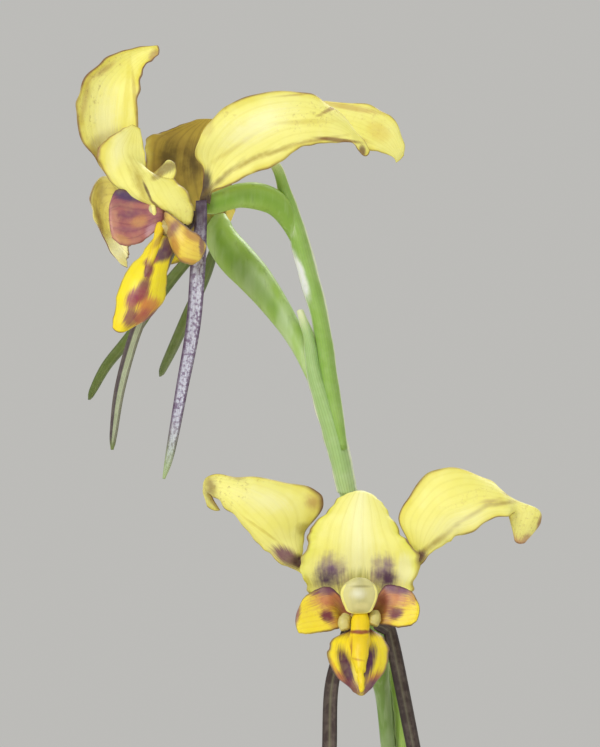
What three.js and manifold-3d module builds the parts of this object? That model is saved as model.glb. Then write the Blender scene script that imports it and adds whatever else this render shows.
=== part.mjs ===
// A potted donkey orchid: one flower stalk with three open flowers, its bracts and its
// grass-like leaves, standing in soil in a plain terracotta pot.
// Millimetres, +Z up, origin in the middle of the pot's foot. The low flower faces -Y.

import * as THREE from "three";
import { mergeVertices } from "three/addons/utils/BufferGeometryUtils.js";
import Module from "manifold-3d";

const wasm = await Module();
wasm.setup();

// Pot and soil
const potHeight = 100;
const rimRadius = 60;
const rimHeight = 22;
const rimStep = 3.5; // how far the rim stands out from the wall under it
const footRadius = 40;
const wallThickness = 4.5;
const floorThickness = 6;
const drainRadius = 7;
const edgeRound = 1.5;
const potSides = 40;
const soilDrop = 13; // from the top of the rim down to the soil
const soilBump = 1.1;
const soilSmoothRadius = 7; // the soil is level round the stem, where the leaves start
const soilRings = 6;
const soilSides = 32;

// Plant
const gap = 0.3; // between two pieces that touch
const bladeThickness = 0.7; // petals, sepals, bracts and leaves
const lobeThickness = 0.8; // the lip
const stemRadius = 1.7; // at the soil
const stemFoot = 62; // height of the stem's lower end, in its hole in the soil
const normalPasses = 4; // how often the directions of a blade's thickness are evened out
const sepalChannel = 0.2; // depth of the groove along a lateral sepal, as a share of its width
const ovaryRib = 0.07; // three ribs, as a share of the ovary's radius
const cutFineness = 0.03; // slivers smaller than this are cleaned off a cut piece

// Where each flower's parts meet, on the end of its ovary
const lowHeart = [-7.25, -8, 213.5];
const topHeart = [-26.6, -5, 264.25];
const backHeart = [-25.5, 8, 260.5];
const backTurn = [28, -130]; // the back flower tips back and faces away: degrees from the low one

const colours = {
  terracotta: 0xb5643c,
  soil: 0x3b2a1e,
  stem: 0x9cbf62,
  bract: 0xa9c878,
  leaf: 0x5f8a3a,
  petal: 0xf4ee9a,
  sepal: 0x6f5f58,
  lip: 0xe2a63c,
  column: 0xe2d88b,
};

// A closed solid of the mesh's own, turned the right way out
function solidOf(geometry) {
  for (const name of ["normal", "uv"]) geometry.deleteAttribute(name);
  const merged = mergeVertices(geometry, 1e-5);
  const triangles = Uint32Array.from(merged.index.array);
  const points = Float32Array.from(merged.attributes.position.array);
  const at = (k) => new THREE.Vector3().fromArray(points, 3 * triangles[k]);
  let volume = 0;
  for (let k = 0; k < triangles.length; k += 3) volume += at(k).dot(at(k + 1).cross(at(k + 2)));
  if (volume < 0) {
    for (let k = 0; k < triangles.length; k += 3) {
      [triangles[k], triangles[k + 1]] = [triangles[k + 1], triangles[k]];
    }
  }
  return new wasm.Manifold(new wasm.Mesh({ numProp: 3, vertProperties: points, triVerts: triangles }));
}

function geometryOf(solid) {
  const mesh = solid.getMesh();
  const geometry = new THREE.BufferGeometry();
  geometry.setAttribute("position", new THREE.BufferAttribute(Float32Array.from(mesh.vertProperties), 3));
  geometry.setIndex(new THREE.BufferAttribute(Uint32Array.from(mesh.triVerts), 1));
  geometry.computeVertexNormals();
  return geometry;
}

function indexedSolid(points, triangles) {
  const geometry = new THREE.BufferGeometry();
  geometry.setAttribute("position", new THREE.Float32BufferAttribute(points.flatMap((p) => p.toArray()), 3));
  geometry.setIndex(triangles);
  return solidOf(geometry);
}

// The largest body that is left, with the scraps of a cut dropped
function largestBody(solid) {
  const bodies = solid.decompose();
  return bodies.reduce((best, body) => (body.volume() > best.volume() ? body : best));
}

const joined = (solids) => solids.reduce((sum, solid) => sum.add(solid));

function smoothCurve(points) {
  return new THREE.CatmullRomCurve3(points.map((p) => new THREE.Vector3(...p)), false, "catmullrom", 0.5);
}

// A thin blade through rows of three points, from its base to its tip: one edge, the middle and
// the other edge. Each row bends as a parabola, and three smooth rails run through the rows. The
// edges wave by a sine that fades at both ends. With extra, the blade is fatter by that much on every side.
function blade(rows, extra, { along = 14, across = 6, thickness = bladeThickness, wave = 0, waves = 3 } = {}) {
  const rails = [0, 1, 2].map((k) => smoothCurve(rows.map((row) => row[k])));
  const grid = [];
  for (let i = 0; i <= along; i++) {
    const [first, middle, last] = rails.map((rail) => rail.getPoint(i / along));
    grid.push([]);
    for (let j = 0; j <= across; j++) {
      const v = (2 * j) / across - 1;
      const point = new THREE.Vector3();
      point.addScaledVector(first, (v * v - v) / 2);
      point.addScaledVector(middle, 1 - v * v);
      point.addScaledVector(last, (v * v + v) / 2);
      grid[i].push(point);
    }
  }
  const within = (i, j) => [Math.min(along, Math.max(0, i)), Math.min(across, Math.max(0, j))];
  const look = (table, i, j) => { const [row, column] = within(i, j); return table[row][column]; };
  const run = (a, b) => look(grid, ...a).clone().sub(look(grid, ...b)).normalize();
  const lengthwise = grid.map((row, i) => row.map((_, j) => run([i + 1, j], [i - 1, j])));
  const sideways = grid.map((row, i) => row.map((_, j) => run([i, j + 1], [i, j - 1])));
  let normals = grid.map((row, i) => row.map((_, j) => (
    lengthwise[i][j].clone().cross(sideways[i][j]).normalize())));
  for (let pass = 0; pass < normalPasses; pass++) {
    const around = [[1, 0], [-1, 0], [0, 1], [0, -1], [0, 0]];
    normals = grid.map((row, i) => row.map((_, j) => around.reduce((sum, [di, dj]) => (
      sum.add(look(normals, i + di, j + dj))), new THREE.Vector3()).normalize()));
  }
  const front = [];
  const back = [];
  for (let i = 0; i <= along; i++) {
    for (let j = 0; j <= across; j++) {
      const normal = normals[i][j];
      const v = (2 * j) / across - 1;
      const t = i / along;
      const ripple = wave * 4 * t * (1 - t) * Math.abs(v) ** 3 * Math.sin(2 * Math.PI * waves * t + v);
      const point = grid[i][j].clone().addScaledVector(normal, ripple);
      if (i === 0 || i === along) point.addScaledVector(lengthwise[i][j], i ? extra : -extra);
      if (j === 0 || j === across) point.addScaledVector(sideways[i][j], j ? extra : -extra);
      front.push(point.clone().addScaledVector(normal, thickness / 2 + extra));
      back.push(point.addScaledVector(normal, -thickness / 2 - extra));
    }
  }
  const count = front.length;
  const at = (i, j) => i * (across + 1) + j;
  const triangles = [];
  for (let i = 0; i < along; i++) {
    for (let j = 0; j < across; j++) {
      const [a, b, c, d] = [at(i, j), at(i + 1, j), at(i + 1, j + 1), at(i, j + 1)];
      triangles.push(a, b, c, a, c, d);
      triangles.push(count + a, count + c, count + b, count + a, count + d, count + c);
    }
  }
  const rim = [];
  for (let i = 0; i < along; i++) rim.push(at(i, 0));
  for (let j = 0; j < across; j++) rim.push(at(along, j));
  for (let i = along; i > 0; i--) rim.push(at(i, across));
  for (let j = across; j > 0; j--) rim.push(at(0, j));
  rim.forEach((a, k) => {
    const b = rim[(k + 1) % rim.length];
    triangles.push(b, a, count + a, b, count + a, count + b);
  });
  return indexedSolid([...front, ...back], triangles);
}

// A tube through points of x, y, z and radius, with three ribs past the share ribsFrom
function tube(path, extra, { rings = 24, sides = 10, ribs = 0, ribsFrom = 1 } = {}) {
  const centre = smoothCurve(path.map(([x, y, z]) => [x, y, z]));
  const radius = smoothCurve(path.map((p) => [p[3], 0, 0]));
  const points = [];
  const triangles = [];
  const side = new THREE.Vector3(1, 0, 0);
  for (let i = 0; i <= rings; i++) {
    const t = i / rings;
    const middle = centre.getPoint(t);
    const along = centre.getTangent(t);
    side.addScaledVector(along, -side.dot(along)).normalize();
    const up = along.clone().cross(side);
    const rib = ribs * Math.min(1, Math.max(0, (t - ribsFrom) * 8));
    for (let j = 0; j < sides; j++) {
      const angle = (2 * Math.PI * j) / sides;
      const r = radius.getPoint(t).x * (1 + rib * Math.cos(3 * angle + Math.PI / 2)) + extra;
      const point = middle.clone().addScaledVector(side, r * Math.cos(angle));
      point.addScaledVector(up, r * Math.sin(angle));
      if (i === 0 || i === rings) point.addScaledVector(along, i ? extra : -extra);
      points.push(point);
    }
  }
  for (let i = 0; i < rings; i++) {
    for (let j = 0; j < sides; j++) {
      const next = (j + 1) % sides;
      const [a, b] = [i * sides + j, i * sides + next];
      triangles.push(a, b, b + sides, a, b + sides, a + sides);
    }
  }
  for (let j = 1; j < sides - 1; j++) {
    triangles.push(0, j + 1, j);
    triangles.push(rings * sides, rings * sides + j, rings * sides + j + 1);
  }
  return indexedSolid(points, triangles);
}

// Rows for a narrow strap along a spine of x, y, z and width. It faces one way and is hollowed
// along its middle.
function strapRows(spine, facing, channel) {
  const face = new THREE.Vector3(...facing).normalize();
  const curve = smoothCurve(spine.map(([x, y, z]) => [x, y, z]));
  return spine.map(([x, y, z, width], k) => {
    const side = curve.getTangent(k / (spine.length - 1)).cross(face).normalize();
    const at = (shift, depth) => new THREE.Vector3(x, y, z)
      .addScaledVector(side, (shift * width) / 2).addScaledVector(face, depth).toArray();
    const depth = (channel * width) / 2;
    return [at(1, depth), at(0, -depth), at(-1, depth)];
  });
}

// The same points, tipped back about X and then turned about Z, in degrees
function turned(rows, [tip, turn]) {
  const across = new THREE.Vector3(1, 0, 0);
  const up = new THREE.Vector3(0, 0, 1);
  const [tipAngle, turnAngle] = [tip, turn].map(THREE.MathUtils.degToRad);
  const move = (p) => new THREE.Vector3(...p).applyAxisAngle(across, -tipAngle).applyAxisAngle(up, turnAngle);
  return rows.map((row) => row.map((p) => move(p).toArray()));
}

// Tube points with their radii, turned in the same way
function turnedPath(path, turns) {
  return path.map((p) => [...turned([[p.slice(0, 3)]], turns)[0][0], p[3]]);
}

const model = new THREE.Group();

// Each piece is cut clear of the pieces that it grows beside
function addPiece(group, name, colour, make, neighbours = [], roughness = 0.6) {
  let solid = make(0);
  for (const other of neighbours) solid = solid.subtract(other(gap));
  const material = new THREE.MeshStandardMaterial({ color: colour, roughness, metalness: 0 });
  const clean = neighbours.length ? largestBody(solid.simplify(cutFineness)) : solid;
  const mesh = new THREE.Mesh(geometryOf(clean), material);
  mesh.name = name;
  group.add(mesh);
  return make;
}

// Pot: foot, leaning wall, thick rim, and a drain hole in the floor
const wallTop = potHeight - rimHeight;
const wallTopRadius = rimRadius - rimStep - 2;
const innerTop = rimRadius - wallThickness - 1.5;
const innerFloor = footRadius - wallThickness;

function turnedSolid(profile, sides) {
  const geometry = new THREE.LatheGeometry(profile.map(([r, z]) => new THREE.Vector2(r, z)), sides);
  return geometry.rotateX(Math.PI / 2);
}

function addPot() {
  const profile = [
    [drainRadius, 0],
    [footRadius - edgeRound, 0],
    [footRadius, edgeRound],
    [wallTopRadius, wallTop],
    [wallTopRadius + rimStep, wallTop],
    [wallTopRadius + rimStep + edgeRound / 2, wallTop + edgeRound],
    [rimRadius, potHeight - edgeRound],
    [rimRadius - edgeRound, potHeight],
    [innerTop + edgeRound, potHeight],
    [innerTop, potHeight - edgeRound],
    [innerFloor, floorThickness],
    [drainRadius, floorThickness],
    [drainRadius, 0],
  ];
  const make = () => solidOf(turnedSolid(profile, potSides));
  addPiece(model, "pot", colours.terracotta, make, [], 0.85);
}

// Soil: fills the pot, uneven on top, with a plain hole for the stem
function addSoil() {
  const top = potHeight - soilDrop;
  const lean = (innerTop - innerFloor) / (potHeight - floorThickness);
  const wallAt = (z) => innerFloor + lean * (z - floorThickness) - gap;
  const holeRadius = stemRadius + gap;
  const holeFoot = stemFoot - gap;
  const soilFoot = floorThickness + gap;
  const profile = [[0, holeFoot], [holeRadius, holeFoot], [holeRadius, top]];
  for (let k = 0; k <= soilRings; k++) {
    profile.push([THREE.MathUtils.lerp(soilSmoothRadius, wallAt(top), k / soilRings), top]);
  }
  profile.push([wallAt(soilFoot), soilFoot], [0, soilFoot]);
  const geometry = turnedSolid(profile, soilSides);
  const position = geometry.attributes.position;
  for (let k = 0; k < position.count; k++) {
    const [x, y, z] = [position.getX(k), position.getY(k), position.getZ(k)];
    const away = THREE.MathUtils.clamp((Math.hypot(x, y) - soilSmoothRadius) / 10, 0, 1);
    const bump = Math.sin(0.21 * x + 1.3) * Math.cos(0.19 * y) + 0.5 * Math.sin(0.47 * x + 0.39 * y + 2);
    if (z > top - 0.01) position.setZ(k, z + soilBump * bump * away);
  }
  addPiece(model, "potting_mix", colours.soil, () => solidOf(geometry.clone()), [], 0.95);
}

// Stem: up from the soil and on into the top flower's bent ovary, with the other two flowers'
// stalks and ovaries growing out of it
const stemPath = [
  [0, 0, stemFoot, stemRadius], [0, 0, 88, stemRadius], [0.2, 0.2, 120, 1.6], [-0.3, 0.4, 150, 1.5],
  [-1.2, 0.4, 175, 1.4], [-2.5, 0.4, 196.6, 1.25], [-3.4, 0.3, 205, 1.25], [-5.45, 0, 215, 1.2],
  [-6.85, 0, 221.25, 1.2], [-8.4, 0, 228.25, 1.15], [-9.4, 0, 233.1, 1.15], [-10.4, 0, 238.1, 1.1],
  [-11, 0, 242.75, 1], [-11.6, 0, 247.5, 0.95], [-12.5, 0, 252.5, 0.9], [-13.6, -0.3, 256.9, 0.9],
  [-14.75, -0.6, 260, 0.95], [-16, -1.2, 262.5, 1.2], [-17.6, -2, 264.5, 1.55], [-19.75, -3, 265.4, 1.65],
  [-22, -3.8, 265.5, 1.5], [-24.1, -4.5, 264.9, 1.35], [-25.5, -4.9, 264.4, 1.25], [-26.5, -5, 264.2, 0.9],
];
const backOvaryPath = [
  [-10, -0.3, 236, 0.8], [-11.4, -0.6, 239.4, 0.85], [-12.6, -0.4, 242.5, 0.95], [-14.1, 0.4, 246, 1.15],
  [-15.75, 1.4, 249.1, 1.4], [-17.9, 2.8, 252.4, 1.75], [-20.1, 4.2, 255.25, 2.1],
  [-22.25, 5.8, 257.6, 2.25], [-24, 7, 259.25, 1.9], [-25.2, 7.8, 260.4, 1.4], [-25.2, 8.3, 261.8, 1],
];
const lowOvaryPath = [
  [-2.2, -0.4, 187, 0.8], [-2.9, -1.4, 192, 0.85], [-3.5, -2.2, 196.6, 0.9], [-4.25, -3.2, 203.75, 1],
  [-5.4, -4.8, 208.1, 1.65], [-6.5, -6.2, 211.25, 1.6], [-7.1, -7.2, 212.9, 1.3], [-7.25, -7.9, 213.7, 0.9],
];

const stem = (extra) => joined([
  tube(stemPath, extra, { rings: 46, sides: 9, ribs: ovaryRib, ribsFrom: 0.72 }),
  tube(backOvaryPath, extra, { rings: 18, sides: 9, ribs: ovaryRib, ribsFrom: 0.3 }),
  tube(lowOvaryPath, extra, { rings: 14, sides: 9, ribs: ovaryRib, ribsFrom: 0.45 }),
]);

// Bracts: one sheathing scale on the stem, and one behind each flower's stalk
const sheathFoot = 128;
const sheathSteps = [
  // height over its foot, half width, middle's and edges' distance in front of the stem's axis
  [0, 2.1, 2.3, -0.6], [8, 2.1, 2.3, -0.5], [17, 1.9, 2.2, -0.2], [25, 1.6, 2.15, 0.2],
  [32, 1.2, 2.3, 1.1], [37, 0.7, 2.7, 2.2], [41, 0.3, 3.2, 3.1],
];
const bractMiddleY = -1.9;
const bractDepth = 0.55; // how far the edges wrap back, as a share of the width
const bractDeepest = 1.5;

function sheathRows() {
  return sheathSteps.map(([rise, half, middle, edge]) => {
    const lean = -0.3 * (rise / 41);
    const z = sheathFoot + rise;
    return [[lean - half, 0.4 - edge, z], [lean, 0.4 - middle, z], [lean + half, 0.4 - edge, z]];
  });
}

// Rows of a bract from x and z of its two edges and its middle
function bractRows(rows) {
  return rows.map(([first, middle, last]) => {
    const width = Math.hypot(last[0] - first[0], last[1] - first[1]);
    const edgeY = bractMiddleY + Math.min(bractDeepest, bractDepth * width);
    return [[first[0], edgeY, first[1]], [middle[0], bractMiddleY, middle[1]], [last[0], edgeY, last[1]]];
  });
}

const lowBractRows = [
  [[-2.5, -0.6, 191.2], [-1.5, -1.9, 191.2], [-0.5, -0.6, 191.3]],
  [[-2.5, -0.9, 196.2], [-1.75, -2, 196.2], [-1, -0.9, 196.3]],
  [[-2.7, -1.3, 200.6], [-2.12, -2, 200.6], [-1.5, -1.3, 200.7]],
  [[-3.1, -1.6, 204.3], [-2.75, -2, 204.4], [-2.3, -1.6, 204.4]],
  [[-3.45, -1.9, 207.2], [-3.25, -2, 207.3], [-3, -1.9, 207.3]],
];
const middleBractRows = bractRows([
  [[-9.9, 228.5], [-8.6, 228.25], [-7.4, 228.75]],
  [[-10.6, 231.9], [-9.4, 231.75], [-8, 232.1]],
  [[-11.75, 236], [-10.4, 235.9], [-9, 236.25]],
  [[-12.9, 240], [-11.6, 239.75], [-10.5, 240.25]],
  [[-13.7, 243.75], [-12.75, 243.6], [-11.9, 244.25]],
  [[-14, 247.5], [-13.4, 247.5], [-12.7, 247.75]],
  [[-14.9, 251.1], [-14.5, 251.3], [-14.1, 251.2]],
]);
const topBractRows = bractRows([
  [[-10.2, 233.8], [-9.1, 233.75], [-8.6, 234]],
  [[-11.6, 239.4], [-10.25, 239.4], [-9.3, 239.6]],
  [[-12.3, 243.8], [-11, 243.75], [-10, 244]],
  [[-12.8, 248.8], [-11.75, 248.75], [-10.7, 249]],
  [[-13.9, 253.1], [-12.75, 253.1], [-11.6, 253.3]],
  [[-15.1, 257.2], [-13.9, 257.25], [-12.7, 257.6]],
  [[-16.1, 261.8], [-15.1, 261.9], [-14.1, 262.2]],
  [[-16.9, 264.9], [-16.1, 265], [-15.3, 265.3]],
  [[-17.7, 268.1], [-17.1, 268.25], [-16.5, 268.5]],
  [[-18.5, 270], [-18.1, 270.25], [-17.6, 270.4]],
]);

// Leaves: narrow, channelled and arching, round the foot of the stem
const leaves = [
  { azimuth: 205, reach: 50, height: 78, halfWidth: 2.4 },
  { azimuth: 328, reach: 54, height: 92, halfWidth: 2.2 },
  { azimuth: 82, reach: 46, height: 64, halfWidth: 2.5 },
];
const leafStart = 2.5; // from the stem's axis
const leafChannel = 0.9;
const leafCourse = [
  // share of the reach, of the height and of the half width
  [0, 0, 0.62], [0.008, 0.08, 0.7], [0.05, 0.32, 0.9], [0.18, 0.62, 1],
  [0.44, 0.88, 0.92], [0.76, 1, 0.6], [1, 0.9, 0.13],
];

function leafRows({ azimuth, reach, height, halfWidth }) {
  const base = potHeight - soilDrop + 0.4;
  const spine = leafCourse.map(([r, z]) => [leafStart + r * (reach - leafStart), base + z * height]);
  const angle = THREE.MathUtils.degToRad(azimuth);
  const place = (r, s, z) => [
    r * Math.cos(angle) - s * Math.sin(angle), r * Math.sin(angle) + s * Math.cos(angle), z,
  ];
  return leafCourse.map(([, , width], k) => {
    const before = spine[Math.max(0, k - 1)];
    const after = spine[Math.min(spine.length - 1, k + 1)];
    const run = Math.hypot(after[0] - before[0], after[1] - before[1]);
    const inward = (before[1] - after[1]) / run;
    const upward = (after[0] - before[0]) / run;
    const [r, z] = spine[k];
    const lift = leafChannel * width;
    const edge = (side) => place(r + inward * lift, side * width * halfWidth, z + upward * lift);
    return [edge(-1), place(r, 0, z), edge(1)];
  });
}

// Low flower, seen from the front. Every row gives three points from the heart: one edge, the
// middle and the other edge.
const lowFlower = {
  prefix: "low",
  heart: lowHeart,
  dorsalSepal: [
    [[-2.2, -0.5, 0.6], [0, 0.8, 0.6], [2.2, -0.5, 0.6]],
    [[-5, -1, 1.8], [0, 0.8, 1.8], [5.2, -1, 1.9]],
    [[-6.4, -1, 2.9], [0, 0.6, 3.3], [6.8, -1, 3.1]],
    [[-7.1, -1, 5.4], [0, 0.2, 5.8], [7.4, -1, 5.9]],
    [[-6.6, -0.4, 8], [0, -0.2, 8.4], [7, -0.6, 8.1]],
    [[-6.1, 0.6, 10], [0, 0.2, 10.8], [5.2, 0.2, 9.9]],
    [[-4.4, 1.6, 12.2], [0.2, 1, 13.1], [4, 1.4, 12.2]],
    [[-2.5, 2.4, 14.2], [0.4, 1.9, 14.7], [2.5, 2.3, 14]],
    [[-0.8, 2.9, 15], [0.4, 2.6, 15.2], [1.3, 2.8, 14.8]],
  ],
  leftPetal: [
    [[-1, 1.7, 1.6], [-1.4, 1.8, 1.1], [-1.8, 1.7, 0.6]],
    [[-3.8, 1.9, 3.9], [-4.2, 2.1, 3.4], [-4.6, 1.9, 2.9]],
    [[-6.9, 1.5, 6.4], [-7.2, 1.8, 5.8], [-7.5, 1.4, 5.3]],
    [[-6.8, 1.4, 7.9], [-8.4, 0.6, 7.2], [-9.6, 0.8, 6.2]],
    [[-6.6, 2, 9.8], [-9.4, 0.2, 9], [-11.1, 0.4, 7.6]],
    [[-4.8, 2.4, 12.9], [-10.6, -0.4, 11], [-12.6, 0.2, 8.9]],
    [[-5, 1.8, 15.1], [-12.4, -0.6, 13], [-14.3, 0.2, 10.9]],
    [[-9, 1.2, 16.5], [-14.3, -0.6, 14.5], [-15.8, 0.4, 12.6]],
    [[-14.2, 0.8, 16.9], [-16.6, -0.1, 15.6], [-17.3, 0.8, 14.2]],
    [[-18.2, 1.1, 17.1], [-18.9, 1, 16], [-18.4, 1.8, 14.8]],
    [[-19.3, 2.3, 15.6], [-18.8, 2.8, 14.4], [-17.8, 3.2, 13.8]],
    [[-18.8, 3.6, 13.3], [-18, 3.9, 12.8], [-17.2, 4.1, 12.8]],
  ],
  rightPetal: [
    [[1, 1.7, 1.6], [1.4, 1.8, 1.1], [1.8, 1.7, 0.6]],
    [[3.8, 1.9, 3.9], [4.2, 2.1, 3.4], [4.6, 1.9, 2.9]],
    [[7, 1.5, 6.9], [7.4, 1.8, 6.5], [7.8, 1.4, 6.1]],
    [[6.5, 1.5, 8.5], [7.8, 0.9, 8.2], [9.2, 1, 7.8]],
    [[5, 2, 12.1], [8.5, 0.2, 10.6], [11, 0.5, 8.6]],
    [[6.4, 1.8, 14.6], [10.3, -0.4, 13.1], [12.1, -0.2, 9.6]],
    [[8.6, 1.5, 17.4], [12.4, -0.6, 14.1], [14.3, -0.8, 10.4]],
    [[12.1, 1.4, 18.1], [15, -0.4, 14.8], [16.6, -1, 11.8]],
    [[15.9, 1.2, 16.5], [17.8, -0.2, 14.4], [18.6, -0.8, 12.1]],
    [[19.1, 1.2, 14.3], [19.5, 0.6, 13.6], [19.2, 0, 12.6]],
    [[22.5, 1.2, 12.3], [21.6, 0.6, 12.8], [18.6, 0.8, 12]],
    [[22.3, 1.8, 10.9], [20.8, 1.2, 10.6], [19, 1.4, 11]],
    [[20.7, 2.3, 8.8], [19.9, 2.2, 8.7], [19.4, 2.2, 9.1]],
  ],
  sepalFacing: [0, -1, 0],
  leftLateralSepal: [
    [-0.6, 0.4, -0.6, 1.3], [-1.6, 0.5, -3, 1.5], [-3.3, 2, -8.9, 1.6], [-3.6, 2.5, -16.9, 1.7],
    [-3.9, 2.5, -25, 1.5], [-3.8, 2.5, -31, 1.1], [-3.6, 2.5, -33.5, 0.3],
  ],
  rightLateralSepal: [
    [0.8, 0.4, -0.8, 1.3], [3.4, 1.5, -1.9, 1.5], [4.2, 2, -3.5, 1.6], [6.9, 2.5, -16.9, 1.6],
    [8.5, 2.5, -25, 1.4], [9, 2.5, -29.8, 1], [9, 2.5, -32.3, 0.3],
  ],
  lip: {
    leftLobe: [
      [[-0.5, -2.4, 0.2], [-0.5, -2.4, -0.4], [-0.4, -2.5, -1]],
      [[-1.6, -2.5, 1.5], [-2, -2.2, 0], [-1.5, -2.8, -1.2]],
      [[-3.5, -2.6, 3.4], [-3.5, -3.2, 0.9], [-2.5, -3.6, -1.7]],
      [[-5.3, -3, 3.1], [-5.1, -3.6, 0.3], [-4.5, -4.2, -2.1]],
      [[-6.8, -3.6, 2.1], [-6.8, -4.2, -0.1], [-6.4, -4.6, -2.3]],
      [[-7.6, -4.2, 0.5], [-7.8, -4.6, -0.9], [-7.4, -4.8, -2.2]],
    ],
    rightLobe: [
      [[0.5, -2.4, 0.2], [0.5, -2.4, -0.4], [0.4, -2.5, -1]],
      [[1.75, -2.5, 1.5], [2, -2.2, 0], [1.6, -2.8, -1.2]],
      [[3.3, -2.6, 3.6], [3.5, -3.2, 1], [3.1, -3.6, -1.2]],
      [[5.1, -3, 3.5], [5.15, -3.6, 0.85], [4.9, -4.2, -1.5]],
      [[6.5, -3.6, 2.9], [6.6, -4.2, 0.85], [6.3, -4.6, -1.3]],
      [[7.2, -4.2, 1.75], [7.5, -4.5, 0.6], [7.1, -4.7, -0.8]],
    ],
    middleLobe: [
      [[-1, -3.2, -1.75], [0.25, -3.9, -1.5], [1.5, -3.2, -1.75]],
      [[-2.25, -3.6, -3.1], [0.1, -5.2, -2.9], [2.4, -3.6, -2.9]],
      [[-3.75, -4.2, -4.4], [0.1, -6.8, -4.5], [3.6, -4.2, -4.1]],
      [[-3.6, -5.4, -6], [0.2, -8.1, -6], [3.5, -5.4, -5.9]],
      [[-2.5, -7, -7.6], [0.25, -8.9, -7.7], [2.6, -7, -7.5]],
      [[-1, -8.4, -8.9], [0.3, -9.4, -8.9], [1.5, -8.4, -8.7]],
      [[-0.2, -9.2, -9.5], [0.25, -9.5, -9.7], [0.7, -9.2, -9.5]],
    ],
    claw: [[0, -1.5, -0.5, 0.9], [0, -2.4, -0.6, 1.2], [0.2, -3.4, -1.6, 1.2]],
    ridges: [
      [[0.2, -3.4, 0.5, 0.8], [0.2, -4.3, -0.8, 1.1], [0.1, -5.3, -2.8, 1.3], [0.1, -6.8, -4, 1.2],
        [0.1, -7.9, -5.4, 0.9], [0.25, -8.8, -7.2, 0.6]],
      [[-1.4, -3.4, 0, 0.6], [-1.8, -3.9, -0.9, 0.8], [-1.6, -4.2, -1.9, 0.6]],
      [[1.9, -3.4, 0.4, 0.6], [2, -3.9, -0.4, 0.75], [1.7, -4.2, -1.3, 0.6]],
    ],
  },
  column: {
    stalk: [[0, -0.9, 0.6, 0.9], [0, -2, 1.4, 1.05], [0, -5.1, 2.5, 1.3]],
    shield: [
      [[-0.35, -4.9, 4.5], [0.06, -5.1, 4.6], [0.5, -4.9, 4.5]],
      [[-1.7, -4.8, 3.7], [0.06, -5.5, 3.8], [1.85, -4.8, 3.7]],
      [[-2.15, -4.8, 2.6], [0.06, -5.6, 2.5], [2.25, -4.8, 2.6]],
      [[-1.7, -4.8, 1.2], [0.06, -5.4, 1.1], [1.8, -4.8, 1.2]],
      [[-1.1, -4.6, 0.4], [0.06, -4.8, 0.4], [1.2, -4.6, 0.4]],
    ],
  },
};

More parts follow.
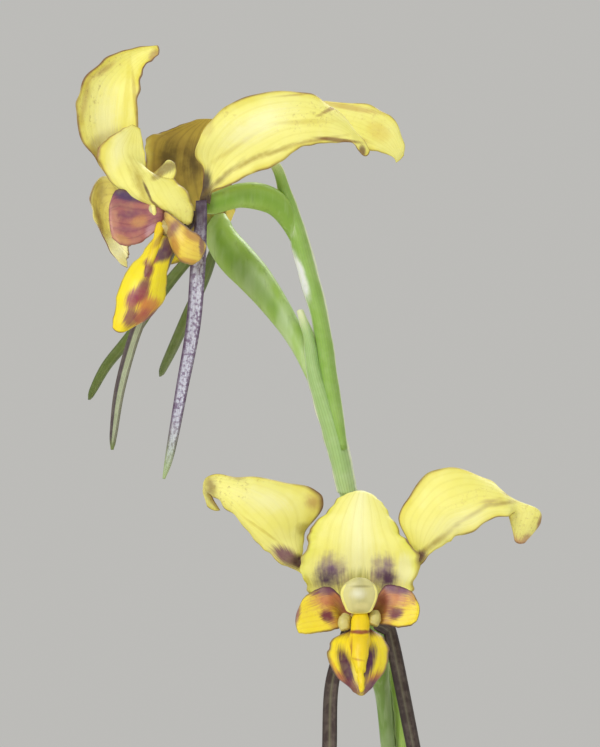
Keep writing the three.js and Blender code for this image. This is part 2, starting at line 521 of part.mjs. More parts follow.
// Top flower, turned to its right, the far side of its lip hidden by its ears and its hood
const topFlower = {
  prefix: "top",
  heart: topHeart,
  dorsalSepal: [
    [[-1.9, -0.6, 0.6], [-1.6, -1.6, -0.2], [-1.3, -2.4, -1]],
    [[-4.4, -2.2, 0.4], [-3.2, -3.9, -1.4], [-1.7, -3.9, -2.5]],
    [[-7.9, -3.4, 0.35], [-4.75, -4.7, -0.2], [-1, -3.6, -1]],
    [[-10.9, -3.8, 2.35], [-6.1, -4.6, 1.2], [-1.8, -3.3, 1.3]],
    [[-13, -4, 5.5], [-7, -4, 3.1], [-3.6, -2.8, 2.9]],
    [[-12.3, -4, 7.6], [-8.8, -3.2, 5.9], [-6.6, -2.2, 3.9]],
    [[-10.4, -3.6, 9], [-8.7, -2.8, 8], [-7.2, -2.2, 6.6]],
    [[-8.7, -3.1, 9.9], [-8.2, -2.9, 9.7], [-7.7, -2.7, 9.4]],
  ],
  hoodFold: [
    [[-6.4, -2.2, 3.6], [-5, -2.5, 3.2], [-3.6, -2.8, 2.8]],
    [[-5.3, -2, 4.6], [-4.5, -2.2, 4.3], [-3.2, -2.4, 4.1]],
    [[-4.4, -1.8, 5.4], [-4, -1.9, 5.5], [-3.4, -2, 5.1]],
  ],
  leftPetal: [
    [[-1.7, 1.3, -0.75], [-1.6, 1.3, -0.15], [-1.5, 1.3, 0.45]],
    [[-6.15, 0.8, -0.25], [-6, 0.9, 0.35], [-5.85, 0.8, 0.95]],
    [[-10.6, -0.6, 1.9], [-10, -0.4, 2.2], [-9.3, -0.3, 2.5]],
    [[-12.7, -1.6, 4.75], [-11.2, -0.8, 5.15], [-9.1, -0.4, 4.25]],
    [[-14.7, -2.4, 7.85], [-11.9, -0.8, 8.55], [-8.1, -0.6, 7.35]],
    [[-15.6, -2.8, 11.7], [-12, -0.6, 12.1], [-8, -1.2, 11]],
    [[-15.1, -2.4, 14.8], [-11.3, -0.2, 15], [-7.9, -1.4, 14.2]],
    [[-12.2, -0.6, 18], [-9.5, 0.8, 17.2], [-7.6, -0.8, 16.4]],
    [[-9, 0.8, 19.5], [-7.5, 1.2, 18.7], [-6.6, -0.4, 17.7]],
    [[-5.6, 1.2, 19.9], [-5.4, 0.8, 19.4], [-5.5, 0, 18.7]],
  ],
  rightPetal: [
    [[-0.4, -1.7, 0.45], [0.25, -1.7, 0.3], [0.9, -1.7, 0.05]],
    [[0, -2, 2.25], [0.6, -2, 2], [1.4, -2, 1.75]],
    [[0.1, -2.3, 4.5], [1.4, -1.9, 4], [2.9, -2.1, 2.25]],
    [[-1, -3.2, 6.75], [3.1, -2.2, 6.5], [5.9, -2.6, 3.65]],
    [[1.1, -2.8, 10.5], [5.9, -3.2, 8.75], [9, -3.4, 4.75]],
    [[5, -2.2, 13.2], [9, -3.8, 10.15], [11.5, -3.8, 6.75]],
    [[10.2, -1.8, 14.1], [12.7, -3.8, 10.7], [14, -3.8, 7.35]],
    [[14.3, -2.2, 13.2], [15.5, -3.6, 10.3], [16.5, -3.6, 7.65]],
    [[17.6, -2.4, 10.85], [17.9, -3.2, 9.15], [18.4, -3.4, 7.65]],
    [[19.9, -2.6, 8], [19.4, -3.2, 7.35], [19.1, -3.6, 7]],
    [[20.75, -2.8, 6.65], [20.4, -3.2, 6], [19.75, -3.4, 6.15]],
  ],
  sepalFacing: [-0.35, -0.94, 0],
  leftLateralSepal: [
    [-0.6, -0.4, -1, 1.2], [-3.5, -2, -4.9, 1.4], [-6, -3, -10.5, 1.4], [-8.4, -3, -16.25, 1.4],
    [-10.2, -3, -22.75, 1.3], [-11, -3, -28.2, 0.9], [-11.2, -3, -30.4, 0.3],
  ],
  rightLateralSepal: [
    [-0.1, -2.2, 0.5, 1.4], [-0.25, -3.2, -3.65, 1.6], [-0.5, -3.6, -7.35, 1.9], [-1.1, -3.6, -15, 1.8],
    [-2.5, -3.2, -22.75, 1.5], [-3.9, -3, -30.35, 1.1], [-4.8, -3, -34, 0.3],
  ],
  lip: {
    leftLobe: [
      [[-4.4, -3.6, -1.2], [-4.3, -3.8, -1.8], [-4.3, -4, -2.6]],
      [[-5.4, -4, -0.1], [-5.25, -4.6, -1.5], [-5.5, -5, -3.1]],
      [[-6.9, -3.8, 0.75], [-7, -5, -2], [-6.6, -5.8, -4.1]],
      [[-8.9, -4, 1.6], [-8.9, -5.4, -2.25], [-8.1, -6.4, -5]],
      [[-10.6, -4.4, 1.75], [-10.5, -5.8, -2], [-9.9, -6.8, -5.1]],
      [[-11.4, -5, 0.1], [-11.5, -5.8, -1.75], [-11.1, -6.6, -4.25]],
    ],
    rightLobe: [
      [[-4.6, -4.2, -1.2], [-4.6, -4.4, -2], [-4.6, -4.3, -3]],
      [[-4.4, -4.8, -0.9], [-4.4, -5, -2], [-4.4, -4.8, -3.5]],
      [[-3, -5.8, -2], [-3.4, -6.4, -3.5], [-3.9, -5.6, -5.25]],
      [[-1.6, -6.4, -3.1], [-2.25, -7.2, -4.9], [-2.9, -6.2, -6.75]],
      [[-0.25, -6.2, -4], [-0.9, -7, -5.6], [-1.6, -6.2, -7.5]],
      [[0.5, -5.8, -5.1], [0.25, -6.2, -6.1], [-0.4, -6, -7.1]],
    ],
    middleLobe: [
      [[-5.4, -5.2, -3.75], [-4.6, -5.6, -4], [-3.9, -5.2, -4.4]],
      [[-6.6, -5.8, -5.25], [-5.4, -6.8, -5.5], [-3.6, -5.6, -6]],
      [[-8.1, -6, -7], [-6.25, -7.6, -7.75], [-4.25, -6.2, -7.75]],
      [[-9.6, -6.8, -8.9], [-7, -8.4, -9.75], [-4.4, -6.4, -10.1]],
      [[-10.4, -7.4, -11.4], [-7.75, -8.8, -11.9], [-4.9, -6.8, -12.25]],
      [[-10.75, -7.8, -13.5], [-8.6, -8.8, -13.9], [-6.5, -7.4, -14]],
      [[-11, -8.2, -15.25], [-10.25, -8.6, -15.9], [-9.1, -8.2, -15.6]],
    ],
    claw: [[-1.6, -1.8, -1.2, 0.9], [-3.4, -3.4, -1.9, 1.1], [-4.9, -5, -3.8, 1.2]],
    ridges: [
      [[-5.2, -5.2, -2.2, 0.7], [-5.4, -6, -3.8, 0.9], [-5.9, -7.2, -5.8, 0.9], [-6.6, -8, -8, 0.7],
        [-7.3, -8.6, -10.2, 0.5]],
    ],
  },
  column: {
    stalk: [[-1.3, -0.9, -0.4, 0.7], [-3.4, -2.1, -0.8, 0.8], [-5.9, -3.8, -1.1, 0.9]],
    shield: [
      [[-6, -3.9, 0], [-6.2, -3.7, 0.1], [-6.4, -3.3, 0]],
      [[-5.8, -4.4, -0.3], [-6.6, -3.8, -0.3], [-6.7, -2.9, -0.3]],
      [[-5.7, -4.6, -0.9], [-6.8, -4, -0.9], [-6.8, -2.7, -0.9]],
      [[-5.7, -4.5, -1.6], [-6.5, -4, -1.7], [-6.6, -2.9, -1.6]],
      [[-5.8, -4.2, -2.2], [-6.1, -4, -2.3], [-6.3, -3.4, -2.2]],
    ],
  },
};

// Back flower, facing away to the left: its lip and column are the low flower's, turned
const backFlower = {
  prefix: "back",
  heart: backHeart,
  dorsalSepal: [
    [[-1.2, -0.8, 1.2], [0, -0.1, 1.4], [1.2, 0.6, 1.2]],
    [[-5, -2.4, 3.5], [-1.5, -1.4, 3], [1.5, 1.4, 3.5]],
    [[-7.75, -4.1, 6.4], [-2.5, -2.5, 5.75], [2.4, 1.6, 6.1]],
    [[-8.4, -5.1, 9.5], [-2.9, -3.4, 8.5], [2.75, 1, 8.9]],
    [[-8.1, -5.3, 12.25], [-2.6, -3.8, 11.1], [2.4, 0.2, 11.4]],
    [[-5.5, -4.6, 13.4], [-1.9, -3.5, 13.2], [1.5, -1.9, 13.3]],
    [[-2, -4, 14.7], [-0.6, -3.5, 14.8], [0.7, -3, 14.7]],
  ],
  leftPetal: [
    [[-0.9, -0.9, 0.9], [-0.75, -1, 0.4], [-0.6, -0.9, -0.1]],
    [[-4.1, -0.8, 1.9], [-4, -0.9, 1.25], [-3.9, -0.8, 0.6]],
    [[-6.8, -0.8, 3.2], [-6.75, -0.9, 2.5], [-6.6, -0.8, 1.7]],
    [[-8.25, -0.4, 5.75], [-8.5, -0.8, 3.9], [-8.25, -1.2, 1.75]],
    [[-11.5, -0.8, 7.5], [-11.25, -0.2, 4.1], [-9.6, -1.4, 0.5]],
    [[-14.4, -1.6, 7.25], [-13.25, -0.2, 3.75], [-10.25, -1.6, -0.75]],
    [[-15.25, -2.2, 4.5], [-13.6, -0.8, 1.75], [-10.5, -1.8, -1.75]],
    [[-14.5, -2.6, 1.4], [-12.9, -1.6, -0.25], [-10.6, -2, -2.5]],
    [[-12.9, -2.6, -1.75], [-12, -2.3, -2.2], [-10.75, -2.2, -3]],
    [[-11.6, -2.4, -3.4], [-11.2, -2.4, -3.7], [-10.7, -2.4, -3.9]],
  ],
  rightPetal: [
    [[0.3, 0.8, 1.6], [0.9, 0.8, 1.4], [1.5, 0.8, 1.2]],
    [[0.6, 1.6, 3.8], [1.2, 1.6, 3.7], [1.8, 1.6, 3.6]],
    [[0.8, 2, 6.6], [1.5, 2, 6.5], [2.2, 2, 6.3]],
    [[1.6, 2.2, 10.4], [3, 1.8, 9.8], [4, 2, 9.2]],
    [[5.2, 1.8, 14.9], [7.4, 1, 13.3], [9, 0.8, 11.9]],
    [[11, 1.2, 17.1], [12.9, 0.2, 15], [14.75, -0.4, 12]],
    [[16, 1, 17], [16.6, 0, 15], [17.9, -0.6, 12]],
    [[20, 0.8, 16.5], [19.5, 0, 14.1], [19.75, -0.4, 11.1]],
    [[23, 0.8, 14.75], [22, 0.2, 12.5], [21.75, 0, 10.5]],
    [[24.1, 0.8, 11.9], [23.25, 0.4, 10.75], [22.9, 0.4, 9.9]],
    [[24.1, 0.7, 10.3], [23.6, 0.6, 9.75], [23.1, 0.5, 9.4]],
  ],
  sepalFacing: [-0.5, 0.87, 0],
  leftLateralSepal: [
    [-1.3, 0.6, -0.9, 1.2], [-4.6, 2.6, -4.5, 1.5], [-7.8, 5, -8.6, 1.6], [-10.5, 7.6, -12.4, 1.6],
    [-13.6, 10.4, -16.1, 1.4], [-15.4, 12.4, -19.2, 1], [-16, 13.2, -20.5, 0.3],
  ],
  rightLateralSepal: [
    [0.2, 1, -1.4, 1.2], [-1, 3, -4.9, 1.5], [-3, 5.8, -9.25, 1.6], [-5, 9.4, -13.6, 1.5],
    [-6.4, 12.6, -16.4, 1.1], [-6.9, 13.9, -17.5, 0.3],
  ],
  lip: {
    leftLobe: turned(lowFlower.lip.leftLobe, backTurn),
    rightLobe: turned(lowFlower.lip.rightLobe, backTurn),
    middleLobe: turned(lowFlower.lip.middleLobe, backTurn),
    claw: turnedPath(lowFlower.lip.claw, backTurn),
    ridges: lowFlower.lip.ridges.map((path) => turnedPath(path, backTurn)),
  },
  column: {
    stalk: turnedPath(lowFlower.column.stalk, backTurn),
    shield: turned(lowFlower.column.shield, backTurn),
  },
};

function addFlower(flower) {
  const group = new THREE.Group();
  group.position.set(...flower.heart);
  model.add(group);
  const name = (part) => `${flower.prefix}_${part}`;
  const ownOvary = (extra) => stem(extra).translate(flower.heart.map((c) => -c));
  const wide = { along: 16, across: 5, wave: 0.15 };
  const narrow = { along: 12, across: 2 };
  const lobe = { along: 6, across: 4, thickness: lobeThickness };
  const strap = (spine) => {
    const rows = strapRows(spine, flower.sepalFacing, sepalChannel);
    return (extra) => blade(rows, extra, narrow);
  };
  const { lip, column } = flower;
  const columnSolid = (extra) => joined([
    tube(column.stalk, extra, { rings: 3, sides: 6 }),
    blade(column.shield, extra, { along: 5, across: 4, thickness: lobeThickness }),
  ]);
  const lipSolid = (extra) => joined([
    blade(lip.middleLobe, extra, { ...lobe, along: 9 }),
    blade(lip.leftLobe, extra, lobe),
    blade(lip.rightLobe, extra, lobe),
    tube(lip.claw, extra, { rings: 3, sides: 6 }),
    ...lip.ridges.map((path) => tube(path, extra, { rings: 2 * path.length - 3, sides: 6 })),
  ]);
  const dorsalSolid = (extra) => joined([
    blade(flower.dorsalSepal, extra, wide),
    ...(flower.hoodFold ? [blade(flower.hoodFold, extra, { along: 4, across: 2 })] : []),
  ]);
  const pieces = [
    ["column", colours.column, columnSolid],
    ["labellum", colours.lip, lipSolid],
    ["dorsal_sepal", colours.petal, dorsalSolid],
    ["left_petal", colours.petal, (extra) => blade(flower.leftPetal, extra, wide)],
    ["right_petal", colours.petal, (extra) => blade(flower.rightPetal, extra, wide)],
    ["left_lateral_sepal", colours.sepal, strap(flower.leftLateralSepal)],
    ["right_lateral_sepal", colours.sepal, strap(flower.rightLateralSepal)],
  ];
  const placed = [ownOvary];
  for (const [part, colour, make] of pieces) placed.push(addPiece(group, name(part), colour, make, [...placed]));
}

addPot();
addSoil();
addPiece(model, "flower_stem", colours.stem, stem);
const bractShape = { along: 9, across: 3 };
const sheath = (extra) => blade(sheathRows(), extra, bractShape);
const lowBract = (extra) => blade(lowBractRows, extra, { along: 6, across: 2 });
const middleBract = (extra) => blade(middleBractRows, extra, bractShape);
const topBract = (extra) => blade(topBractRows, extra, { along: 13, across: 3 });
addPiece(model, "stem_sheath", colours.bract, sheath, [stem]);
addPiece(model, "low_bract", colours.bract, lowBract, [stem]);
addPiece(model, "middle_bract", colours.bract, middleBract, [stem]);
addPiece(model, "top_bract", colours.bract, topBract, [stem, middleBract]);
leaves.forEach((leaf, k) => {
  const make = (extra) => blade(leafRows(leaf), extra, { along: 16, across: 4 });
  addPiece(model, `leaf_${k + 1}`, colours.leaf, make, [stem]);
});
[lowFlower, topFlower, backFlower].forEach(addFlower);

export default model;
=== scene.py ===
# A potted donkey orchid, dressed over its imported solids: metres, +Z up, the low flower faces -Y.
import math

import bmesh
import bpy
import numpy as np
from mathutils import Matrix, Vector


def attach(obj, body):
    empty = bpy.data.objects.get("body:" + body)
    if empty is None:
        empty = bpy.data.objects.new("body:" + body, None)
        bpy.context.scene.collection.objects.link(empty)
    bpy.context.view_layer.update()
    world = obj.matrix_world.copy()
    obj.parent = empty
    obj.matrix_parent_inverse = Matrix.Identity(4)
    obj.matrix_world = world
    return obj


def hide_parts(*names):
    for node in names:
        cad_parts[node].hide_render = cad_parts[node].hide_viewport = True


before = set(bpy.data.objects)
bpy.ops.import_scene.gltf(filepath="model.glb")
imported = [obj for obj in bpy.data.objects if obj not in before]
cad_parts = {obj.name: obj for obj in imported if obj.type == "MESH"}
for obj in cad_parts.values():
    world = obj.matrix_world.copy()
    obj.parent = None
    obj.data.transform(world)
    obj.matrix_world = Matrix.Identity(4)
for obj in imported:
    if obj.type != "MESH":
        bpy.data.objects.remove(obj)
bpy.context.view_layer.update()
print("frame loaded:", len(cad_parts), "nodes")

mm = 0.001

# Camera: a level view of the low flower's face
view = {
    "eye": (-14.5, -900, 243.3),  # mm
    "tall": 93.375,               # mm of the plant from the picture's top to its foot
    "sensor": 36,
    "near": 0.01,                 # metres
}


def linked(name, data):
    made = bpy.data.objects.new(name, data)
    bpy.context.collection.objects.link(made)
    return made


def addCamera():
    camera = bpy.data.cameras.new("camera")
    camera.sensor_width = view["sensor"]
    camera.lens = view["sensor"] * -view["eye"][1] / view["tall"]
    camera.clip_start = view["near"]
    holder = linked("camera", camera)
    holder.location = Vector(view["eye"]) * mm
    holder.rotation_euler = (math.pi / 2, 0, 0)
    bpy.context.scene.camera = holder


def tint(code):
    # a colour written as six hex digits, made linear by the usual screen curve
    parts = [int(code[k:k + 2], 16) / 255 for k in (0, 2, 4)]
    return tuple(c / 12.92 if c <= 0.04045 else ((c + 0.055) / 1.055) ** 2.4 for c in parts) + (1,)


# Nodes
def newFinish(name, roughness):
    material = bpy.data.materials.new(name)
    material.use_nodes = True
    tree = material.node_tree
    tree.nodes.clear()
    output = tree.nodes.new("ShaderNodeOutputMaterial")
    shader = tree.nodes.new("ShaderNodeBsdfPrincipled")
    shader.inputs["Roughness"].default_value = roughness
    tree.links.new(shader.outputs[0], output.inputs[0])
    return material, tree, shader


def feed(tree, socket, value):
    if isinstance(value, bpy.types.NodeSocket):
        tree.links.new(value, socket)
    elif value is not None:
        socket.default_value = value


def calc(tree, operation, *values):
    node = tree.nodes.new("ShaderNodeMath")
    node.operation = operation
    for socket, value in zip(node.inputs, values):
        feed(tree, socket, value)
    return node.outputs[0]


def ease(tree, value, low, high, top=1.0):
    # 0 at low, top at high, with a soft start and end
    node = tree.nodes.new("ShaderNodeMapRange")
    node.interpolation_type = "SMOOTHSTEP"
    feed(tree, node.inputs["Value"], value)
    flip = high < low
    node.inputs["From Min"].default_value = min(low, high)
    node.inputs["From Max"].default_value = max(low, high)
    node.inputs["To Min"].default_value = top if flip else 0
    node.inputs["To Max"].default_value = 0 if flip else top
    return node.outputs[0]


def mixed(tree, factor, first, second):
    node = tree.nodes.new("ShaderNodeMix")
    node.data_type = "RGBA"
    for socket, value in ((0, factor), (6, first), (7, second)):
        feed(tree, node.inputs[socket], value)
    return node.outputs[2]


def coated(tree, colour, coats):
    for factor, shade in coats:
        colour = mixed(tree, factor, colour, tint(shade))
    return colour


def places(tree):
    return tree.nodes.new("ShaderNodeTexCoord").outputs["Object"]


def heights(tree):
    split = tree.nodes.new("ShaderNodeSeparateXYZ")
    tree.links.new(places(tree), split.inputs[0])
    return split.outputs[2]


def stretched(tree, vector, scale):
    node = tree.nodes.new("ShaderNodeVectorMath")
    node.operation = "MULTIPLY"
    feed(tree, node.inputs[0], vector)
    node.inputs[1].default_value = scale
    return node.outputs[0]


def noise(tree, vector, scale, detail=3, rough=0.55):
    node = tree.nodes.new("ShaderNodeTexNoise")
    feed(tree, node.inputs["Vector"], vector)
    node.inputs["Scale"].default_value = scale
    node.inputs["Detail"].default_value = detail
    node.inputs["Roughness"].default_value = rough
    return node.outputs["Fac"]


def bumped(tree, shader, height, depth):
    node = tree.nodes.new("ShaderNodeBump")
    node.inputs["Strength"].default_value = 1
    node.inputs["Distance"].default_value = depth * mm
    feed(tree, node.inputs["Height"], height)
    tree.links.new(node.outputs[0], shader.inputs["Normal"])


def within(tree, spot, ragged, grain):
    # 0 in the middle of a spot and 1 at its border, frayed by the grain; the spot runs deep along Y
    x, z, wide, high, turn = spot
    deep = 1000
    node = tree.nodes.new("ShaderNodeMapping")
    node.vector_type = "TEXTURE"
    feed(tree, node.inputs["Vector"], places(tree))
    node.inputs["Location"].default_value = (x * mm, 0, z * mm)
    node.inputs["Rotation"].default_value = (0, math.radians(turn), 0)
    node.inputs["Scale"].default_value = (wide * mm, deep, high * mm)
    length = tree.nodes.new("ShaderNodeVectorMath")
    length.operation = "LENGTH"
    tree.links.new(node.outputs[0], length.inputs[0])
    shake = calc(tree, "MULTIPLY_ADD", grain, 2 * ragged, -ragged)
    return calc(tree, "ADD", length.outputs["Value"], shake)


def tissue(tree, shader, weight):
    # light that soaks a millimetre into a petal
    shader.inputs["Subsurface Weight"].default_value = weight
    shader.inputs["Subsurface Radius"].default_value = (1, 0.8, 0.35)
    shader.inputs["Subsurface Scale"].default_value = mm


# What every petal's finish starts from; its own look says where it differs
plainLook = {
    "roughness": 0.5, "glow": 0.08, "relief": 0.05, "pleat": 0.18,  # the relief in mm
    "cloudScale": 130, "cloudDepth": 0.6, "grain": "fffce0",
    "veins": ("d8cf6a", 15, 0.25),  # colour, count and depth
    "blotches": [], "flecks": [],
}
# Streaks run along the skin map; the other grains are even
grains = {
    "streaks": ((4, 40, 1), 4, 0.6),  # stretch, detail and roughness
    "fine": 900, "dots": (4, 0.7),    # scale, and detail and roughness
}
# How far the streaks or the cloud fray each coat, in shares of the blade
fray = {"middle": 0.3, "flank": 0.16, "rim": 0.5, "end": 0.2, "edge": 0.05, "fleck": 0.4}
# The noise levels between which a coat comes up
levels = {"cloud": (0.42, 0.66), "gaps": (0.3, 0.6), "dots": (0.52, 0.7), "grain": (0.35, 0.75)}
veins = {"bend": 1.6, "sharpness": 5}
reliefs = {"fine": 0.6, "streaks": 0.8}
spots = {
    "border": 1.25, "core": 0.45, "fleckCore": 0.5,
    "softFrom": 0.65, "streakyFrom": 0.3,  # the raggedness past which a blotch is soft or streaky
    "dotDepth": 0.6, "grainDepth": 0.1,
}


def bladeFinish(name, look):
    # coats over the base colour, each only where the look names it; u runs along and v across the blade
    look = plainLook | look
    material, tree, shader = newFinish(name, look["roughness"])
    skin = tree.nodes.new("ShaderNodeUVMap")
    skin.uv_map = "skin"
    split = tree.nodes.new("ShaderNodeSeparateXYZ")
    tree.links.new(skin.outputs[0], split.inputs[0])
    along, across = split.outputs[0], split.outputs[1]
    side = calc(tree, "ABSOLUTE", calc(tree, "MULTIPLY_ADD", across, 2, -1))
    tipRun = 7  # the tip's margin starts a seventh of the length before the end
    margin = calc(tree, "MAXIMUM", side, calc(tree, "MULTIPLY_ADD", along, tipRun, 1 - tipRun))
    stretch, detail, rough = grains["streaks"]
    streaks = noise(tree, stretched(tree, skin.outputs[0], stretch), 1, detail, rough)
    fine = noise(tree, places(tree), grains["fine"])
    broad = noise(tree, places(tree), look["cloudScale"])
    soft = calc(tree, "MULTIPLY", calc(tree, "ADD", streaks, fine), 0.5)
    coats = []

    def lay(shade, *factors):
        factor = calc(tree, "MULTIPLY", *factors) if len(factors) > 1 else factors[0]
        coats.append((factor, shade))

    def frayed(value, share, grain=streaks):
        return calc(tree, "MULTIPLY_ADD", grain, share, value)

    if "cloud" in look:
        lay(look["cloud"], ease(tree, broad, *levels["cloud"], look["cloudDepth"]))
    if "middle" in look:
        shade, reach, depth = look["middle"]
        lay(shade, ease(tree, frayed(side, fray["middle"]), reach + fray["middle"] / 2, 0, depth))
    if "flank" in look:
        # a positive depth shades the side past the start, a negative one the side before it
        shade, start, depth = look["flank"]
        stop = start + math.copysign(fray["flank"], depth)
        lay(shade, ease(tree, frayed(across, fray["flank"]), start, stop, abs(depth)))
    if "rim" in look:
        shade, reach, depth = look["rim"]
        inward = calc(tree, "ADD", margin, -fray["rim"] / 2)
        lay(shade, ease(tree, frayed(inward, fray["rim"], broad), 1 - reach, 1, depth))
    shade, count, depth = look["veins"]
    turn = calc(tree, "MULTIPLY", across, 2 * math.pi * count)
    bend = calc(tree, "MULTIPLY_ADD", broad, veins["bend"], turn)
    wave = calc(tree, "MULTIPLY_ADD", calc(tree, "COSINE", bend), 0.5, 0.5)
    lay(shade, calc(tree, "POWER", wave, veins["sharpness"]), calc(tree, "MULTIPLY", streaks, 2 * depth))
    if "foot" in look:
        shade, reach = look["foot"]
        start = frayed(calc(tree, "ADD", along, -fray["end"] / 2), fray["end"])
        lay(shade, ease(tree, start, reach, reach * 0.2))
    if "tip" in look:
        shade, start = look["tip"]
        lay(shade, ease(tree, frayed(along, fray["end"]), start + fray["end"] / 2, 1 + fray["end"] / 2))
    for spot, shade, strength, ragged in look["blotches"]:
        isSoft = ragged > spots["softFrom"]
        grain = soft if isSoft else streaks if ragged > spots["streakyFrom"] else fine
        core = 0 if isSoft else spots["core"]
        lay(shade, ease(tree, within(tree, spot, ragged, grain), spots["border"], core, strength))
    for spot, shade, strength, size in look["flecks"]:
        near = ease(tree, within(tree, spot, fray["fleck"], broad), spots["border"], spots["fleckCore"])
        dots = noise(tree, places(tree), 1000 / size, *grains["dots"])
        lay(shade, near, ease(tree, dots, *levels["dots"], spots["dotDepth"] * strength))
    if "edge" in look:
        shade, reach, depth = look["edge"]
        thin = ease(tree, frayed(margin, fray["edge"]), 1 - reach, 1.02)
        lay(shade, thin, ease(tree, broad, *levels["gaps"], depth))
    lay(look["grain"], ease(tree, fine, *levels["grain"], spots["grainDepth"]))
    feed(tree, shader.inputs["Base Color"], coated(tree, tint(look["base"]), coats))
    pleats = calc(tree, "MULTIPLY", wave, -look["pleat"])
    bumped(tree, shader, frayed(frayed(pleats, reliefs["fine"], fine), reliefs["streaks"]), look["relief"])
    tissue(tree, shader, look["glow"])
    return material


# Shapes: a smooth rail through points, and a blade between three rails
def rail(points, shares):
    points = np.asarray(points, float)
    before = 2 * points[0] - points[1]
    after = 2 * points[-1] - points[-2]
    ends = np.vstack([before, points, after])
    place = np.clip(shares, 0, 1) * (len(points) - 1)
    k = np.minimum(place.astype(int), len(points) - 2)
    w = (place - k)[:, None]
    a, b, c, d = ends[k], ends[k + 1], ends[k + 2], ends[k + 3]
    start, stop = (c - a) / 2, (d - b) / 2
    bend, twist = 3 * (c - b) - 2 * start - stop, 2 * (b - c) + start + stop
    return b + w * start + w * w * bend + w ** 3 * twist


def unit(vectors):
    return vectors / np.maximum(np.linalg.norm(vectors, axis=-1, keepdims=True), 1e-12)


def evened(table, passes):
    for _ in range(passes):
        wide = np.pad(table, ((1, 1), (1, 1), (0, 0)), mode="edge")
        beside = wide[2:, 1:-1] + wide[:-2, 1:-1] + wide[1:-1, 2:] + wide[1:-1, :-2]
        table = unit(beside + wide[1:-1, 1:-1])
    return table


def shellFaces(rows, columns):
    # two faces of a grid and the rim between them
    count = rows * columns
    at = np.arange(count).reshape(rows, columns)
    a, b, c, d = at[:-1, :-1], at[1:, :-1], at[1:, 1:], at[:-1, 1:]
    front = np.stack([a, b, c, d], -1).reshape(-1, 4)
    back = np.stack([a, d, c, b], -1).reshape(-1, 4) + count
    rim = np.concatenate([at[:, 0], at[-1, 1:], at[-2::-1, -1], at[0, -2:0:-1]])
    following = np.roll(rim, -1)
    wall = np.stack([following, rim, rim + count, following + count], -1)
    return np.concatenate([front, back, wall])


def ringFaces(rings):
    # the faces between rings of corners, each ring closed
    a, b = rings[:-1], np.roll(rings[:-1], -1, 1)
    d, c = rings[1:], np.roll(rings[1:], -1, 1)
    return np.stack([a, b, c, d], -1).reshape(-1, 4)


def outward(points, faces):
    a, b, c, d = (points[faces[:, k]] for k in range(4))
    volume = (a * np.cross(b, c)).sum() + (a * np.cross(c, d)).sum()
    return faces if volume > 0 else faces[:, ::-1]


def skinMap(u, v):
    return np.stack(np.meshgrid(u, v, indexing="ij"), -1).reshape(-1, 2)


plainBlade = {
    "along": 72, "across": 32,       # faces
    "thick": 0.4, "thin": 0.6,       # mm, and the share that the rim loses
    "endThick": 0.45, "endRun": 8,   # the share left at each end, and how soon it is full again
    "wave": 0, "waves": 3,           # mm, and how many along the rim
    "frill": 0, "frills": 9, "frillStep": 0.37,  # the same, and how much closer each finer frill lies
    "nibble": 0, "nibbles": (4, 9, 15),          # share of the half width, and how many along the rim
    "passes": 14,                    # of smoothing over the normals
}
# How close to the rim each of these keeps: a power of the share of the half width
rimPowers = {"wave": 3, "nibble": 5, "frill": 6, "thin": 6}


def bladeShell(rows, shape, seed=0):
    # rows in mm of edge, middle, edge; thick in the middle, thin at the rim
    rows, shape = np.asarray(rows, float), plainBlade | shape
    u = np.linspace(0, 1, shape["along"] + 1)
    v = np.linspace(-1, 1, shape["across"] + 1)
    first, middle, last = (rail(rows[:, k], u)[:, None] for k in range(3))
    s = v[None, :, None]
    grid = first * (s * s - s) / 2 + middle * (1 - s * s) + last * (s * s + s) / 2
    lengthwise, sideways = (unit(np.gradient(grid, axis=k)) for k in (0, 1))
    normal = evened(unit(np.cross(lengthwise, sideways)), shape["passes"])
    fade = 4 * u * (1 - u)
    swell = np.sin(2 * math.pi * shape["waves"] * u[:, None] + v[None])
    nearRim = {name: (np.abs(v) ** power)[None] for name, power in rimPowers.items()}
    ripple = shape["wave"] * swell * fade[:, None] * nearRim["wave"]
    turns = np.random.default_rng(seed).uniform(0, 2 * math.pi, 6)
    if shape["nibble"]:
        # small unevenness of the margin, in the plane of the blade
        course = sum(np.sin(2 * math.pi * count * u + turns[k + 3]) / (k + 1)
                     for k, count in enumerate(shape["nibbles"]))
        grow = 1 + shape["nibble"] * course[:, None] * nearRim["nibble"]
        grid = middle + (grid - middle) * grow[..., None]
    for k, turn in enumerate(turns[:3] if shape["frill"] else ()):
        count = shape["frills"] * (1 + shape["frillStep"] * k)
        course = np.sin(2 * math.pi * count * u[:, None] + turn + v[None])
        swell = shape["frill"] / (k + 1) * course * np.minimum(1, 2 * fade)[:, None]
        ripple = ripple + swell * nearRim["frill"]
    grid = grid + normal * ripple[..., None]
    half = shape["thick"] / 2 * (1 - shape["thin"] * nearRim["thin"])
    ends = np.minimum(1, shape["endThick"] + shape["endRun"] * np.minimum(u, 1 - u))
    half = half[..., None] * ends[:, None, None]
    points = np.concatenate([(grid + normal * half).reshape(-1, 3), (grid - normal * half).reshape(-1, 3)])
    spread = skinMap(u, (v + 1) / 2)
    return points, outward(points, shellFaces(len(u), len(v))), np.concatenate([spread, spread])


plainTube = {
    "rings": 28, "sides": 18,
    "beads": 0, "beadWaves": 7,              # share of the girth, and half waves along the tube
    "capFrom": 0.86, "capRun": 0.142,        # where the round ends start, from the tube's middle
    "seed": 0,
}


